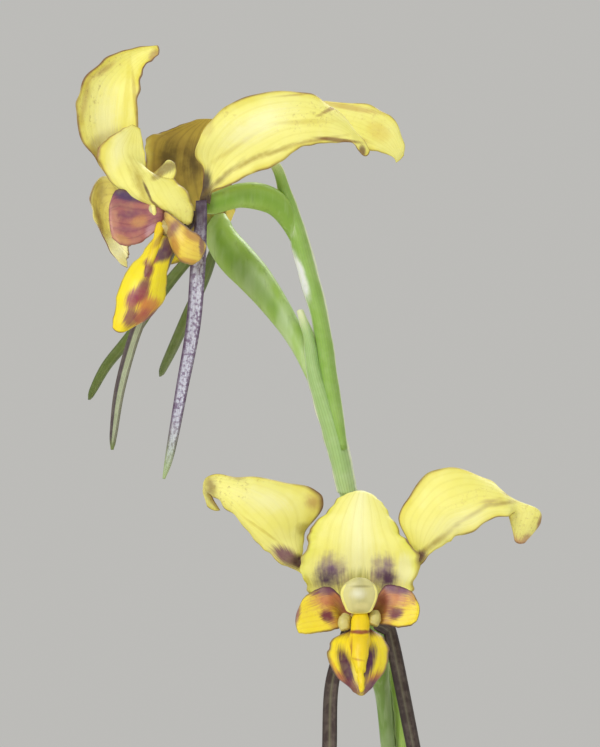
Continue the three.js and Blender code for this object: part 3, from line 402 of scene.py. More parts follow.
def tubeShell(path, shape):
    # a path in mm of x, y, z and girth
    path, shape = np.asarray(path, float), plainTube | shape
    rings, sides = shape["rings"], shape["sides"]
    u = np.linspace(0, 1, rings + 1)
    centre = rail(path[:, :3], u)
    girth = rail(np.repeat(path[:, 3:], 3, 1), u)[:, 0]
    ahead = unit(np.gradient(centre, axis=0))
    side = np.array([1.0, 0, 0])
    knob = np.random.default_rng(shape["seed"]).uniform(0, 2 * math.pi, 4)
    angle = np.linspace(0, 2 * math.pi, sides, endpoint=False)
    points = []
    for k in range(rings + 1):
        side = unit(side - ahead[k] * side.dot(ahead[k]))
        up = np.cross(ahead[k], side)
        swell = np.sin(shape["beadWaves"] * math.pi * u[k] + knob[0])
        bead = 1 + shape["beads"] * swell * np.sin(2 * angle + knob[1])
        past = max(0.0, abs(2 * u[k] - 1) - shape["capFrom"]) / shape["capRun"]
        r = girth[k] * bead * math.sqrt(max(0.0, 1 - past ** 2))
        points.append(centre[k] + np.outer(r * np.cos(angle), side) + np.outer(r * np.sin(angle), up))
    points = np.concatenate(points)
    faces = outward(points, ringFaces(np.arange((rings + 1) * sides).reshape(rings + 1, sides)))
    return points, faces, skinMap(u, np.arange(sides) / sides)


def addPiece(name, shells, node):
    # shells: (points in mm, faces, spread on the skin map) with a finish each; all one object
    mesh = bpy.data.meshes.new(name)
    points, faces, spreads, finishes = [], [], [], []
    start = 0
    for (shellPoints, shellSides, spread), finish in shells:
        if finish.name not in mesh.materials:
            mesh.materials.append(finish)
        points.append(shellPoints * mm)
        faces.append(shellSides + start)
        spreads.append(spread)
        finishes += [mesh.materials.find(finish.name)] * len(shellSides)
        start += len(shellPoints)
    points, faces, spreads = (np.concatenate(part) for part in (points, faces, spreads))
    mesh.from_pydata(points.tolist(), [], faces.tolist())
    skin = mesh.uv_layers.new(name="skin")
    skin.data.foreach_set("uv", spreads[faces.reshape(-1)].reshape(-1))
    mesh.polygons.foreach_set("material_index", finishes)
    mesh.shade_smooth()
    mesh.update()
    return settle(linked(name, mesh), node)


def settle(piece, node):
    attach(piece, "root")
    if node:
        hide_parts(node)
    return piece


def turned(rows, turns):
    # rows tipped back about X and then turned about Z, in degrees
    tip, turn = (math.radians(t) for t in turns)
    tipped = np.array([[1, 0, 0], [0, math.cos(tip), math.sin(tip)], [0, -math.sin(tip), math.cos(tip)]])
    swung = np.array([[math.cos(turn), -math.sin(turn), 0], [math.sin(turn), math.cos(turn), 0], [0, 0, 1]])
    rows = np.asarray(rows, float)
    moved = rows[..., :3] @ (swung @ tipped).T
    return np.concatenate([moved, rows[..., 3:]], -1) if rows.shape[-1] == 4 else moved


# Finishes of the petals. A blotch is x, z, half width, half height (mm) and turn (degrees), its
# colour, its strength and how ragged it is; flecks end with their size in mm.
petalBase = {
    "base": "f5ef88", "cloud": "ebe25c", "cloudDepth": 0.5, "veins": ("cfc242", 9, 0.16),
    "rim": ("dfcf3f", 0.26, 0.7), "edge": ("6d3a34", 0.06, 0.9), "grain": "fbf7b4",
}
petalLooks = {
    "low_dorsal_sepal": petalBase | {
        "foot": ("d2cc58", 0.2), "middle": ("fcf9be", 0.6, 0.8), "rim": ("e0dc44", 0.3, 0.8),
        "blotches": [
            # The olive first blotch round the column's foot is painted shadow of the column on the hood.
            [[-7, 216.2, 3.1, 2.8, 0], "a09a34", 0.85, 0.6], [[-10.6, 219, 2, 2.2, -14], "8a6c80", 1, 0.9],
            [[-11.1, 217.8, 2.2, 1.6, -8], "503650", 1, 0.8], [[-4.2, 219, 1.8, 2.2, 16], "8a6c80", 1, 0.9],
            [[-3.7, 217.8, 1.9, 1.6, 8], "503048", 1, 0.8],
            [[-8.8, 217.6, 0.6, 1.2, -8], "b39c7c", 0.5, 0.7],
            [[-5.6, 217.6, 0.5, 1.2, 8], "b39c7c", 0.5, 0.7],
            [[-1.5, 219, 1.1, 2.2, 0], "f2efb4", 0.6, 0.4], [[-13.8, 217.4, 0.5, 1, 0], "c9bc2c", 0.5, 0.5],
        ],
    },
    "low_left_petal": petalBase | {
        "foot": ("4d2838", 0.14),
        "blotches": [
            [[-16.1, 220.6, 2.2, 1.1, 32], "744058", 0.95, 0.6],
            [[-14.5, 219.9, 1.1, 1, 0], "4d2038", 0.95, 0.4],
            [[-12.8, 227.3, 1.5, 1.2, 40], "a86450", 0.5, 0.9],
            [[-14.1, 224, 1, 0.9, 0], "b8a834", 0.7, 0.3],
            [[-22.5, 230.6, 1.5, 0.6, 20], "7b5430", 0.65, 0.7],
            # The dark brown at the folded-back tip is the underside's brown with painted shade over it.
            [[-25.6, 229.2, 1, 2, 0], "6a3f28", 0.7, 0.7], [[-24.9, 227, 1.6, 0.4, 48], "7d4a2c", 0.6, 0.5],
            # A darker yellow line along the crease: painted crease shade.
            [[-19.2, 223.9, 3.2, 0.2, 36], "c9b83c", 0.5, 0.3],
            # The pale soft blotch is a painted highlight.
            [[-18.5, 227.6, 4.2, 1.8, 12], "fbf8c4", 0.5, 0.9],
        ],
        "flecks": [
            [[-24.2, 229.3, 3.8, 2.8, 20], "7a4a2c", 0.7, 0.55],
            [[-19.2, 230.3, 5.8, 0.6, 4], "9a5a3c", 0.5, 0.5],
        ],
    },
    "low_right_petal": petalBase | {
        "foot": ("4d2838", 0.14), "tip": ("c48c6c", 0.95),
        "blotches": [
            # These three darker yellow lines are painted crease shade along the folds, the last across the
            # fold at the hooked end.
            [[2.4, 222.5, 3.8, 0.5, -38], "a89232", 0.8, 0.7],
            [[6.6, 225.7, 3.8, 0.4, -31], "a89232", 0.8, 0.7],
            [[10.4, 227.2, 3, 0.4, -8], "a08434", 0.75, 0.7],
            [[0.3, 220.5, 1.2, 0.8, -40], "62304a", 0.9, 0.6],
            [[12.6, 228, 2.2, 0.3, 14], "8a5540", 0.6, 0.5],
            [[15.3, 224.7, 0.4, 1.6, 15], "8a4a44", 0.75, 0.5],
            [[13.6, 222.6, 0.6, 1, 20], "b58468", 0.6, 0.6],
            [[9.1, 227.5, 1.8, 0.4, -10], "94603c", 0.5, 0.7],
            # The pale soft blotch is a painted highlight.
            [[5.6, 225.1, 5, 1.8, -22], "faf7be", 0.45, 0.9],
        ],
        "flecks": [
            [[13.8, 225.1, 2.2, 2.8, 0], "8a5040", 0.6, 0.5],
            [[6.6, 228.1, 5, 0.8, -20], "a8783c", 0.45, 0.5],
        ],
    },
    "top_dorsal_sepal": petalBase | {
        "foot": ("a8943c", 0.1), "edge": ("7d4a2c", 0.07, 0.8),
        "blotches": [
            # The ochre band and the thin dark line beside it are painted shade in the crease where the left
            # panel turns in.
            [[-34.4, 267.1, 0.9, 3.2, -22], "b09a2c", 0.8, 0.9],
            [[-33.4, 265.9, 0.2, 1.5, -24], "5c3c20", 0.85, 0.2],
            # The dark lines along the flap's lower margin are its maroon edge with painted shade beneath the
            # flap.
            [[-32.4, 264.2, 1, 0.2, 42], "6d4628", 0.8, 0.2],
            [[-30.9, 262.9, 1.5, 0.2, 42], "8a5030", 0.7, 0.3],
            # Dark olive and ochre on the folded flap: painted shade under the hood.
            [[-31.1, 268.8, 1.9, 0.8, -22], "6f5418", 0.8, 0.5],
            [[-32.1, 267.8, 1, 0.5, -30], "8f7226", 0.7, 0.4],
            # The two pale soft blotches are painted highlights, on the left panel and on the flap.
            [[-37.1, 271.1, 1.2, 4.2, 14], "f8f4b4", 0.6, 0.9],
            [[-30.2, 264.9, 2.5, 1.1, 38], "f6f08c", 0.7, 0.9],
            [[-39.6, 270.8, 0.4, 1.2, 10], "b0785c", 0.4, 0.6],
        ],
        "flecks": [
            [[-39, 273.3, 1.8, 1.8, 0], "8a5a30", 0.5, 0.5],
            [[-28.7, 264.1, 1.2, 2.2, 30], "b0743c", 0.4, 0.5],
        ],
    },
    "top_left_petal": petalBase | {
        "foot": ("6f5a24", 0.2),
        "blotches": [
            # The ochre blotch is the hood's painted shadow on the petal.
            [[-38.9, 271.6, 3.1, 1.6, -38], "a08a2a", 0.9, 0.5],
            [[-41.1, 277.3, 0.5, 4.5, 10], "a8762c", 0.45, 0.7],
            [[-38.9, 281, 2.5, 0.5, -38], "9a602c", 0.5, 0.7],
            [[-32.6, 282.7, 0.8, 1.1, 20], "9a6048", 0.6, 0.5],
            # Two darker yellow lines on the inner side: painted crease shade.
            [[-34.9, 276.7, 0.3, 5, -6], "bda634", 0.65, 0.4],
            [[-36, 277.8, 0.4, 5.8, 4], "ded24c", 0.6, 0.3],
            # The pale soft blotch is a painted highlight.
            [[-38.6, 274.5, 2.2, 5.5, 0], "faf6be", 0.6, 0.9],
        ],
        "flecks": [
            [[-40.6, 277.8, 1.8, 6.2, 10], "7d4c24", 0.65, 0.55],
            [[-38.4, 281.5, 3.5, 1, -30], "84502a", 0.65, 0.5],
        ],
    },
    "top_right_petal": petalBase | {
        "foot": ("3a1f1a", 0.15),
        "blotches": [
            [[-26.3, 266.6, 0.9, 2.2, 8], "3d2220", 0.95, 0.4],
            # These six darker yellow lines are painted crease shade along the petal.
            [[-24.4, 267.3, 3.8, 0.5, -42], "86702a", 0.85, 0.7],
            [[-21, 269.5, 3.8, 0.4, -28], "ae9836", 0.8, 0.7],
            [[-17.5, 270.8, 4.2, 0.4, -18], "ae9838", 0.75, 0.7],
            [[-12.3, 272.2, 4.2, 0.3, -10], "a8883a", 0.7, 0.7],
            [[-22.9, 271.1, 5, 0.4, -34], "d2c150", 0.6, 0.7],
            [[-14.5, 274.4, 5.5, 0.4, -2], "d2c150", 0.6, 0.7],
            [[-9.8, 272.2, 3.2, 0.3, 6], "7d4f28", 0.85, 0.4],
            [[-6.8, 270.8, 0.5, 0.9, 0], "6d3c28", 0.85, 0.4],
            [[-10, 276.5, 3, 0.3, -30], "8a5528", 0.7, 0.6],
            [[-14.5, 277.9, 3.8, 0.2, -6], "9a6530", 0.5, 0.7],
            [[-25.9, 273.6, 0.8, 1.2, 20], "b59a46", 0.35, 0.6],
            # The pale soft blotch is a painted highlight.
            [[-19.7, 274.1, 5.5, 2.2, -26], "fbf8c8", 0.6, 0.9],
        ],
        "flecks": [
            [[-11.8, 276, 6.2, 2.2, -20], "855024", 0.6, 0.55],
            [[-24.2, 275.8, 3.2, 1, 35], "93602e", 0.5, 0.5],
        ],
    },
    "back_dorsal_sepal": petalBase | {
        # The dull brown base and dark cloud are partly the sepal's browner back and partly painted shade from
        # the top flower in front.
        "base": "c0a440", "cloud": "93742e", "cloudDepth": 0.7, "cloudScale": 160, "foot": ("6b7a34", 0.25),
        "veins": ("5c421c", 9, 0.25), "rim": ("c9b54c", 0.16, 0.7), "grain": "c2b060",
        "blotches": [
            # The two dark blotches are painted shade; the pale yellow one is the sepal's own yellow outside
            # that shade.
            [[-30.9, 270.3, 2.2, 2.8, 0], "5c4820", 0.9, 0.8],
            [[-27.9, 269.8, 1.5, 3, 0], "574018", 0.85, 0.8],
            [[-34, 271.3, 1, 2.8, 0], "e0d468", 0.95, 0.7],
            [[-29.7, 265.4, 1.8, 1.5, 0], "6d8034", 0.8, 0.8],
        ],
    },
    "back_left_petal": petalBase | {
        "base": "e8da74", "cloud": "d8c058", "foot": ("8a7434", 0.2), "veins": ("9a7430", 9, 0.15),
        "rim": ("f2eb9c", 0.2, 0.8), "cloudScale": 240,
        "blotches": [
            [[-39.7, 262.4, 0.4, 3.2, -14], "8a6444", 0.7, 0.7],
            # The dark ochre blotch is painted shadow of the top flower's hood and petal on this one.
            [[-37.4, 264.9, 0.8, 2.5, 0], "8a7434", 0.8, 0.7],
            # The pale soft blotch is a painted highlight on the lit tip.
            [[-37.4, 259.1, 1.8, 2.5, -30], "fbf8c8", 0.9, 0.7],
            [[-39.6, 266.1, 0.8, 2, 0], "b09a5c", 0.6, 0.8],
        ],
        "flecks": [[[-38.6, 262.9, 1.5, 5, 0], "6d4226", 0.6, 0.6]],
    },
    "back_right_petal": petalBase | {
        "foot": ("a3903c", 0.2),
        "blotches": [
            [[-8, 276.8, 4.2, 0.4, 10], "b5823c", 0.5, 0.6],
            [[-4.6, 273.8, 1.8, 1.2, 40], "dcc24c", 0.5, 0.5],
            [[-8, 273.1, 2.8, 0.4, 16], "cdb440", 0.6, 0.4],
        ],
        "flecks": [[[-5.6, 275.5, 3.5, 3, 0], "b58444", 0.45, 0.7]],
    },
}

sepalBase = {
    "base": "3f2e2c", "grain": "a8a690", "relief": 0.05, "glow": 0.03, "roughness": 0.45,
    "veins": ("2a1c1c", 5, 0.3), "cloudScale": 900, "cloud": "6d5c54", "cloudDepth": 0.45,
}
backSepal = sepalBase | {
    "base": "5c6f2a", "cloud": "6d8234", "middle": ("86984a", 0.4, 0.5), "rim": ("48522a", 0.3, 0.6),
    "veins": ("47561f", 5, 0.2), "cloudScale": 300,
}
sepalLooks = {
    "low_left": sepalBase | {
        "middle": ("7c7a5c", 0.5, 0.75), "rim": ("2c1c1c", 0.25, 0.8), "foot": ("4f2f38", 0.1),
    },
    "low_right": sepalBase | {
        "middle": ("837f66", 0.5, 0.7), "rim": ("2c1c1c", 0.25, 0.8), "foot": ("4f2f38", 0.12),
    },
    "top_left": sepalBase | {
        "base": "a3ab88", "cloud": "bcc6a0", "cloudDepth": 0.5, "flank": ("43303a", 0.5, -0.95),
        "rim": ("5c5048", 0.2, 0.6), "foot": ("4a2c3c", 0.15), "tip": ("6f7f3c", 0.85),
    },
    "top_right": sepalBase | {
        "base": "cdcfdc", "cloud": "6a4c72", "cloudScale": 2400, "cloudDepth": 0.85,
        "middle": ("5a3c58", 0.16, 0.7), "rim": ("4d3050", 0.22, 0.85), "foot": ("3f2640", 0.3),
        "tip": ("a2b878", 0.72), "flank": ("553a58", 0.3, -0.8), "veins": ("6d5878", 7, 0.3),
        "grain": "f2f2f6",
    },
    "back_left": backSepal, "back_right": backSepal,
}

lipBase = {
    "veins": ("c07830", 7, 0.12), "glow": 0.06, "roughness": 0.42, "grain": "f6e68a", "relief": 0.05,
    "edge": ("4d1c38", 0.1, 0.9),
}
lipLooks = {
    "low_left_lobe": lipBase | {
        "base": "f7e124", "cloud": "f2d434", "foot": ("a8583c", 0.36),
        "blotches": [
            [[-10, 215.9, 3.5, 1.6, -14], "c87c54", 0.95, 0.6],
            [[-10.3, 216.9, 3.5, 0.9, -10], "74405c", 0.97, 0.5],
            [[-8.7, 214.7, 1.5, 2.1, 0], "9c5444", 0.85, 0.6],
            [[-11.1, 213.7, 1.6, 1.1, 35], "a04030", 0.9, 0.8],
            [[-11.1, 213.3, 1, 0.8, 30], "6d1c30", 0.97, 0.6],
            [[-15, 213.9, 0.6, 2.1, 8], "7c3450", 0.9, 0.6],
            [[-13.8, 216.4, 1.5, 0.4, -40], "8a5060", 0.7, 0.6],
            [[-10, 212.4, 1, 0.8, 0], "b56c44", 0.6, 0.6],
        ],
        "flecks": [[[-12.3, 214.7, 2.8, 2, 0], "a0483c", 0.5, 0.5]],
    },
    "low_right_lobe": lipBase | {
        "base": "f7e124", "cloud": "f2d434", "foot": ("a8583c", 0.36),
        "blotches": [
            [[-3.6, 215.9, 3.2, 1.6, 14], "c87c54", 0.95, 0.6],
            [[-2.8, 216.9, 3.2, 0.9, 12], "74405c", 0.97, 0.5],
            [[-4.6, 214.7, 1.5, 2.1, 0], "9c5444", 0.85, 0.6],
            [[-3.1, 213.8, 1.6, 1.1, -35], "a04030", 0.9, 0.8],
            [[-2.7, 213.7, 1, 0.8, -25], "6d1c30", 0.97, 0.6],
            [[-0.6, 215.9, 0.5, 1.2, -12], "a86048", 0.6, 0.6],
            [[-4.1, 212.4, 1, 0.8, 0], "b56c44", 0.6, 0.6],
        ],
        "flecks": [[[-2.1, 214.7, 2.5, 2, 0], "a0483c", 0.5, 0.5]],
    },
    "low_middle_lobe": lipBase | {
        "base": "fae608", "cloud": "f6d80c", "foot": ("6d2c3c", 0.2), "edge": ("5c2448", 0.12, 0.9),
        "blotches": [
            [[-9.5, 205.2, 1.8, 1.8, 40], "b5683c", 1, 0.6],
            [[-4.9, 205.1, 1.8, 1.8, -40], "b5683c", 1, 0.6],
            [[-9, 203.9, 1.8, 1, 40], "6d3450", 0.95, 0.6],
            [[-5.2, 203.7, 1.8, 1, -40], "6d3c64", 0.95, 0.6],
            [[-8.8, 207.1, 0.9, 2.9, -17], "4c1030", 1, 0.5],
            [[-6.1, 207.8, 0.9, 2.5, 17], "4c1c44", 1, 0.5],
            [[-8.2, 204.6, 1.5, 1.1, 35], "6a2438", 0.95, 0.6],
            [[-5.8, 204.7, 1.5, 1.1, -35], "6a3454", 0.95, 0.6],
            [[-10.5, 207.3, 0.4, 1.2, -20], "c97434", 0.5, 0.6],
        ],
    },
    "top_left_lobe": lipBase | {
        "base": "b06c64", "cloud": "8a4c60", "cloudScale": 300, "foot": ("7d4a34", 0.25),
        "veins": ("6f2c48", 7, 0.35),
        "blotches": [
            [[-35.6, 265.5, 2.8, 1.1, 10], "4f3a62", 0.95, 0.4],
            [[-35.4, 263, 2.2, 0.8, -8], "7d4460", 0.8, 0.7],
            [[-34.4, 262.1, 1.2, 0.8, -20], "c98a54", 0.7, 0.6],
            [[-36.6, 259.9, 1.5, 0.6, 20], "cf9a5c", 0.6, 0.6],
            [[-32.8, 260.8, 0.8, 1.1, 20], "c9a0a8", 0.7, 0.5],
            [[-37.4, 261.9, 0.6, 1.8, -6], "c98c74", 0.6, 0.6],
            [[-35.9, 261.1, 1.8, 0.5, 6], "8a4868", 0.6, 0.7],
        ],
        "flecks": [[[-35.1, 261.9, 3, 2.8, 0], "7a3c50", 0.5, 0.7]],
    },
    "top_right_lobe": lipBase | {
        "base": "f4da50", "cloud": "ecc850", "foot": ("6d3450", 0.36), "edge": ("5c2c48", 0.2, 0.95),
        "blotches": [
            [[-30.3, 261.1, 1.2, 2, 32], "83485c", 0.9, 0.7],
            [[-29.9, 258.9, 0.6, 1.5, -10], "b5643c", 0.6, 0.6],
            [[-27.7, 260.4, 1.5, 0.8, 30], "b0704c", 0.7, 0.6],
            [[-26.6, 259.1, 0.4, 1.6, 0], "7d4458", 0.85, 0.6],
            [[-28.4, 257.2, 1.8, 0.4, 10], "c9843c", 0.6, 0.5],
        ],
        "flecks": [[[-28.7, 259.1, 2, 2, 0], "b5642c", 0.4, 0.5]],
    },
    "top_middle_lobe": lipBase | {
        "base": "f8e40c", "cloud": "f4d40c", "veins": ("e0b41c", 5, 0.12), "edge": ("6d2c48", 0.08, 0.9),
        "blotches": [
            [[-31.5, 258, 1.8, 1, -18], "5a3450", 0.97, 0.5],
            [[-30.9, 259.1, 0.9, 1.5, 0], "5a3450", 0.95, 0.5],
            [[-32.9, 257.2, 1.1, 0.6, -25], "8a3044", 0.95, 0.5],
            [[-33.1, 255.9, 0.6, 1.2, 18], "7a2440", 0.95, 0.5],
            [[-33.8, 253.9, 0.8, 1.6, 28], "74223c", 0.95, 0.5],
            [[-35, 252.4, 1, 1.6, 24], "9a3446", 0.95, 0.6],
            [[-34.3, 252.9, 1.5, 1.2, -20], "8f3044", 0.9, 0.6],
            [[-33.1, 251.6, 1.6, 1.1, -30], "d07a3c", 0.9, 0.6],
            [[-34, 250.2, 1.6, 1.1, -35], "b0504a", 0.9, 0.6],
            [[-35.4, 250.2, 0.9, 1.5, 20], "7d3048", 0.9, 0.6],
            [[-32.9, 250.2, 2, 0.4, -45], "6f3458", 0.8, 0.6],
        ],
    },
}

tubeLooks = {
    "callus": {
        "base": "f6da0c", "cloud": "f0cc10", "veins": ("c8841c", 3, 0.12), "grain": "fff46a",
        "roughness": 0.4,
        "blotches": [
            [[-7, 211.5, 1.8, 0.3, 0], "8a2c20", 0.95, 0.3], [[-8.3, 208.9, 0.2, 2, 6], "a04820", 0.7, 0.5],
            [[-7.4, 208.2, 1, 0.2, 10], "a85c1c", 0.6, 0.7],
        ],
    },
    "bump": {
        "base": "dcd480", "cloud": "b09a50", "veins": ("b08a3c", 3, 0.1), "grain": "f6f2b8",
        "roughness": 0.4,
    },
    "shaft": {
        "base": "d8c87c", "cloud": "a8904c", "veins": ("8f6a4c", 5, 0.15), "grain": "fff6c0",
        "roughness": 0.4,
    },
    "ridgeTop": {
        "base": "f4da14", "cloud": "ecc418", "veins": ("c08428", 3, 0.15), "grain": "fff27a",
        "roughness": 0.4,
        "blotches": [
            [[-33.6, 255.4, 2.2, 2, -20], "7a2a40", 0.97, 0.4],
            [[-31.6, 260.1, 0.5, 1.8, 38], "7d3a3c", 0.5, 0.5],
        ],
    },
}
columnLook = {
    "base": "dcd48c", "cloud": "c4bc78", "cloudScale": 240, "middle": ("b4ae78", 0.7, 0.7),
    "veins": ("a89a58", 3, 0.1), "grain": "f6f2c8", "roughness": 0.35,
    "blotches": [
        # The thin dark line is painted shade under the top of the shield, and the pale blotch a painted
        # highlight in its middle.
        [[-7, 217.1, 1.5, 0.2, 0], "8c8444", 0.7, 0.7], [[-7.4, 216.2, 1.2, 0.8, -10], "eeecd0", 0.8, 0.7],
        [[-6.9, 214.7, 1, 0.5, 0], "e0d58c", 0.6, 0.4],
    ],
}
columnRimLook = {
    "base": "fdf48c", "cloud": "f4ea74", "veins": ("e0d27c", 3, 0.1), "grain": "fffbd8", "roughness": 0.35,
}

# Outlines of the three flowers, in mm from the heart of each: rows of edge, middle, edge
lowFlower = {
    "prefix": "low", "heart": (-7.25, -8, 213.5),
    "dorsalSepal": [
        [[-2.2, -0.5, 0.6], [0, 0.8, 0.6], [2.2, -0.5, 0.6]],
        [[-5, -1, 1.8], [0, 0.8, 1.8], [5.2, -1, 1.9]],
        [[-6.4, -1, 2.9], [0, 0.6, 3.3], [6.8, -1, 3.1]],
        [[-7.1, -1, 5.4], [0, 0.2, 5.8], [7.4, -1, 5.9]],
        [[-6.6, -0.4, 8], [0, -0.2, 8.4], [7, -0.6, 8.1]],
        [[-6.1, 0.6, 10], [0, 0.2, 10.8], [5.2, 0.2, 9.9]],
        [[-4.4, 1.6, 12.2], [0.2, 1, 13.1], [4, 1.4, 12.2]],
        [[-2.5, 2.4, 14.2], [0.4, 1.9, 14.7], [2.5, 2.3, 14]],
        [[-0.8, 2.9, 15], [0.4, 2.6, 15.2], [1.3, 2.8, 14.8]],
    ],
    "leftPetal": [
        [[-1, 1.7, 1.6], [-1.4, 1.8, 1.1], [-1.8, 1.7, 0.6]],
        [[-3.8, 1.9, 3.9], [-4.2, 2.1, 3.4], [-4.6, 1.9, 2.9]],
        [[-6.9, 1.5, 6.4], [-7.2, 1.8, 5.8], [-7.5, 1.4, 5.3]],
        [[-6.8, 1.4, 7.9], [-8.4, 0.6, 7.2], [-9.6, 0.8, 6.2]],
        [[-6.6, 2, 9.8], [-9.4, 0.2, 9], [-11.1, 0.4, 7.6]],
        [[-4.8, 2.4, 12.9], [-10.6, -0.4, 11], [-12.6, 0.2, 8.9]],
        [[-5, 1.8, 15.1], [-12.4, -0.6, 13], [-14.3, 0.2, 10.9]],
        [[-9, 1.2, 16.5], [-14.3, -0.6, 14.5], [-15.8, 0.4, 12.6]],
        [[-14.2, 0.8, 16.9], [-16.6, -0.1, 15.6], [-17.3, 0.8, 14.2]],
        [[-18.2, 1.1, 17.1], [-18.9, 1, 16], [-18.4, 1.8, 14.8]],
        [[-19.3, 2.3, 15.6], [-18.8, 2.8, 14.4], [-17.8, 3.2, 13.8]],
        [[-18.8, 3.6, 13.3], [-18, 3.9, 12.8], [-17.2, 4.1, 12.8]],
    ],
    "rightPetal": [
        [[1, 1.7, 1.6], [1.4, 1.8, 1.1], [1.8, 1.7, 0.6]],
        [[3.8, 1.9, 3.9], [4.2, 2.1, 3.4], [4.6, 1.9, 2.9]],
        [[7, 1.5, 6.9], [7.4, 1.8, 6.5], [7.8, 1.4, 6.1]],
        [[6.5, 1.5, 8.5], [7.8, 0.9, 8.2], [9.2, 1, 7.8]],
        [[5, 2, 12.1], [8.5, 0.2, 10.6], [11, 0.5, 8.6]],
        [[6.4, 1.8, 14.6], [10.3, -0.4, 13.1], [12.1, -0.2, 9.6]],
        [[8.6, 1.5, 17.4], [12.4, -0.6, 14.1], [14.3, -0.8, 10.4]],
        [[12.1, 1.4, 18.1], [15, -0.4, 14.8], [16.6, -1, 11.8]],
        [[15.9, 1.2, 16.5], [17.8, -0.2, 14.4], [18.6, -0.8, 12.1]],
        [[19.1, 1.2, 14.3], [19.5, 0.6, 13.6], [19.2, 0, 12.6]],
        [[22.5, 1.2, 12.3], [21.6, 0.6, 12.8], [18.6, 0.8, 12]],
        [[22.3, 1.8, 10.9], [20.8, 1.2, 10.6], [19, 1.4, 11]],
        [[20.7, 2.3, 8.8], [19.9, 2.2, 8.7], [19.4, 2.2, 9.1]],
    ],
    "sepalFacing": [0, -1, 0],
    "leftLateralSepal": [
        [-0.6, 0.4, -0.6, 1.3], [-1.6, 0.5, -3, 1.5], [-3.3, 2, -8.9, 1.6], [-3.6, 2.5, -16.9, 1.7],
        [-3.9, 2.5, -25, 1.5], [-3.8, 2.5, -31, 1.1], [-3.6, 2.5, -33.5, 0.3],
    ],
    "rightLateralSepal": [
        [0.8, 0.4, -0.8, 1.3], [3.4, 1.5, -1.9, 1.5], [4.2, 2, -3.5, 1.6], [6.9, 2.5, -16.9, 1.6],
        [8.5, 2.5, -25, 1.4], [9, 2.5, -29.8, 1], [9, 2.5, -32.3, 0.3],
    ],
    "lip": {
        "leftLobe": [
            [[-0.5, -2.4, 0.2], [-0.5, -2.4, -0.4], [-0.4, -2.5, -1]],
            [[-1.6, -2.5, 1.5], [-2, -2.2, 0], [-1.5, -2.8, -1.2]],
            [[-3.5, -2.6, 3.4], [-3.5, -3.2, 0.9], [-2.5, -3.6, -1.7]],
            [[-5.3, -3, 3.1], [-5.1, -3.6, 0.3], [-4.5, -4.2, -2.1]],
            [[-6.8, -3.6, 2.1], [-6.8, -4.2, -0.1], [-6.4, -4.6, -2.3]],
            [[-7.6, -4.2, 0.5], [-7.8, -4.6, -0.9], [-7.4, -4.8, -2.2]],
        ],
        "rightLobe": [
            [[0.5, -2.4, 0.2], [0.5, -2.4, -0.4], [0.4, -2.5, -1]],
            [[1.75, -2.5, 1.5], [2, -2.2, 0], [1.6, -2.8, -1.2]],
            [[3.3, -2.6, 3.6], [3.5, -3.2, 1], [3.1, -3.6, -1.2]],
            [[5.1, -3, 3.5], [5.15, -3.6, 0.85], [4.9, -4.2, -1.5]],
            [[6.5, -3.6, 2.9], [6.6, -4.2, 0.85], [6.3, -4.6, -1.3]],
            [[7.2, -4.2, 1.75], [7.5, -4.5, 0.6], [7.1, -4.7, -0.8]],
        ],
        "middleLobe": [
            [[-1, -3.2, -1.75], [0.25, -3.9, -1.5], [1.5, -3.2, -1.75]],
            [[-3.2, -3.9, -3.1], [0.1, -5.2, -2.9], [3.1, -3.9, -2.9]],
            [[-3.75, -4.2, -4.4], [0.1, -6.8, -4.5], [3.6, -4.2, -4.1]],
            [[-3.6, -5.4, -6], [0.2, -8.1, -6], [3.5, -5.4, -5.9]],
            [[-2.5, -7, -7.6], [0.25, -8.9, -7.7], [2.6, -7, -7.5]],
            [[-1, -8.4, -8.9], [0.3, -9.4, -8.9], [1.5, -8.4, -8.7]],
            [[-0.2, -9.2, -9.5], [0.25, -9.5, -9.7], [0.7, -9.2, -9.5]],
        ],
        "claw": [[0, -1.5, -0.5, 0.9], [0, -2.4, -0.6, 1.2], [0.2, -3.4, -1.6, 1.2]],
        "ridges": [
            [
                [0.2, -3.4, 0.5, 0.8], [0.2, -4.3, -0.8, 1.1], [0.1, -5.3, -2.8, 1.3], [0.1, -6.8, -4, 1.2],
                [0.1, -7.9, -5.4, 0.9], [0.25, -8.8, -7.2, 0.6],
            ],
            [[-1.4, -3.4, 0, 0.6], [-1.8, -3.9, -0.9, 0.8], [-1.6, -4.2, -1.9, 0.6]],
            [[1.9, -3.4, 0.4, 0.6], [2, -3.9, -0.4, 0.75], [1.7, -4.2, -1.3, 0.6]],
        ],
    },
    "column": {
        "stalk": [[0, -0.9, 0.6, 0.9], [0, -2, 1.4, 1.05], [0, -5.1, 2.5, 1.3]],
        "shield": [
            [[-0.35, -4.9, 4.5], [0.06, -5.1, 4.6], [0.5, -4.9, 4.5]],
            [[-1.7, -4.8, 3.7], [0.06, -5.5, 3.8], [1.85, -4.8, 3.7]],
            [[-2.15, -4.8, 2.6], [0.06, -5.6, 2.5], [2.25, -4.8, 2.6]],
            [[-1.7, -4.8, 1.2], [0.06, -5.4, 1.1], [1.8, -4.8, 1.2]],
            [[-1.1, -4.6, 0.4], [0.06, -4.8, 0.4], [1.2, -4.6, 0.4]],
        ],
    },
}

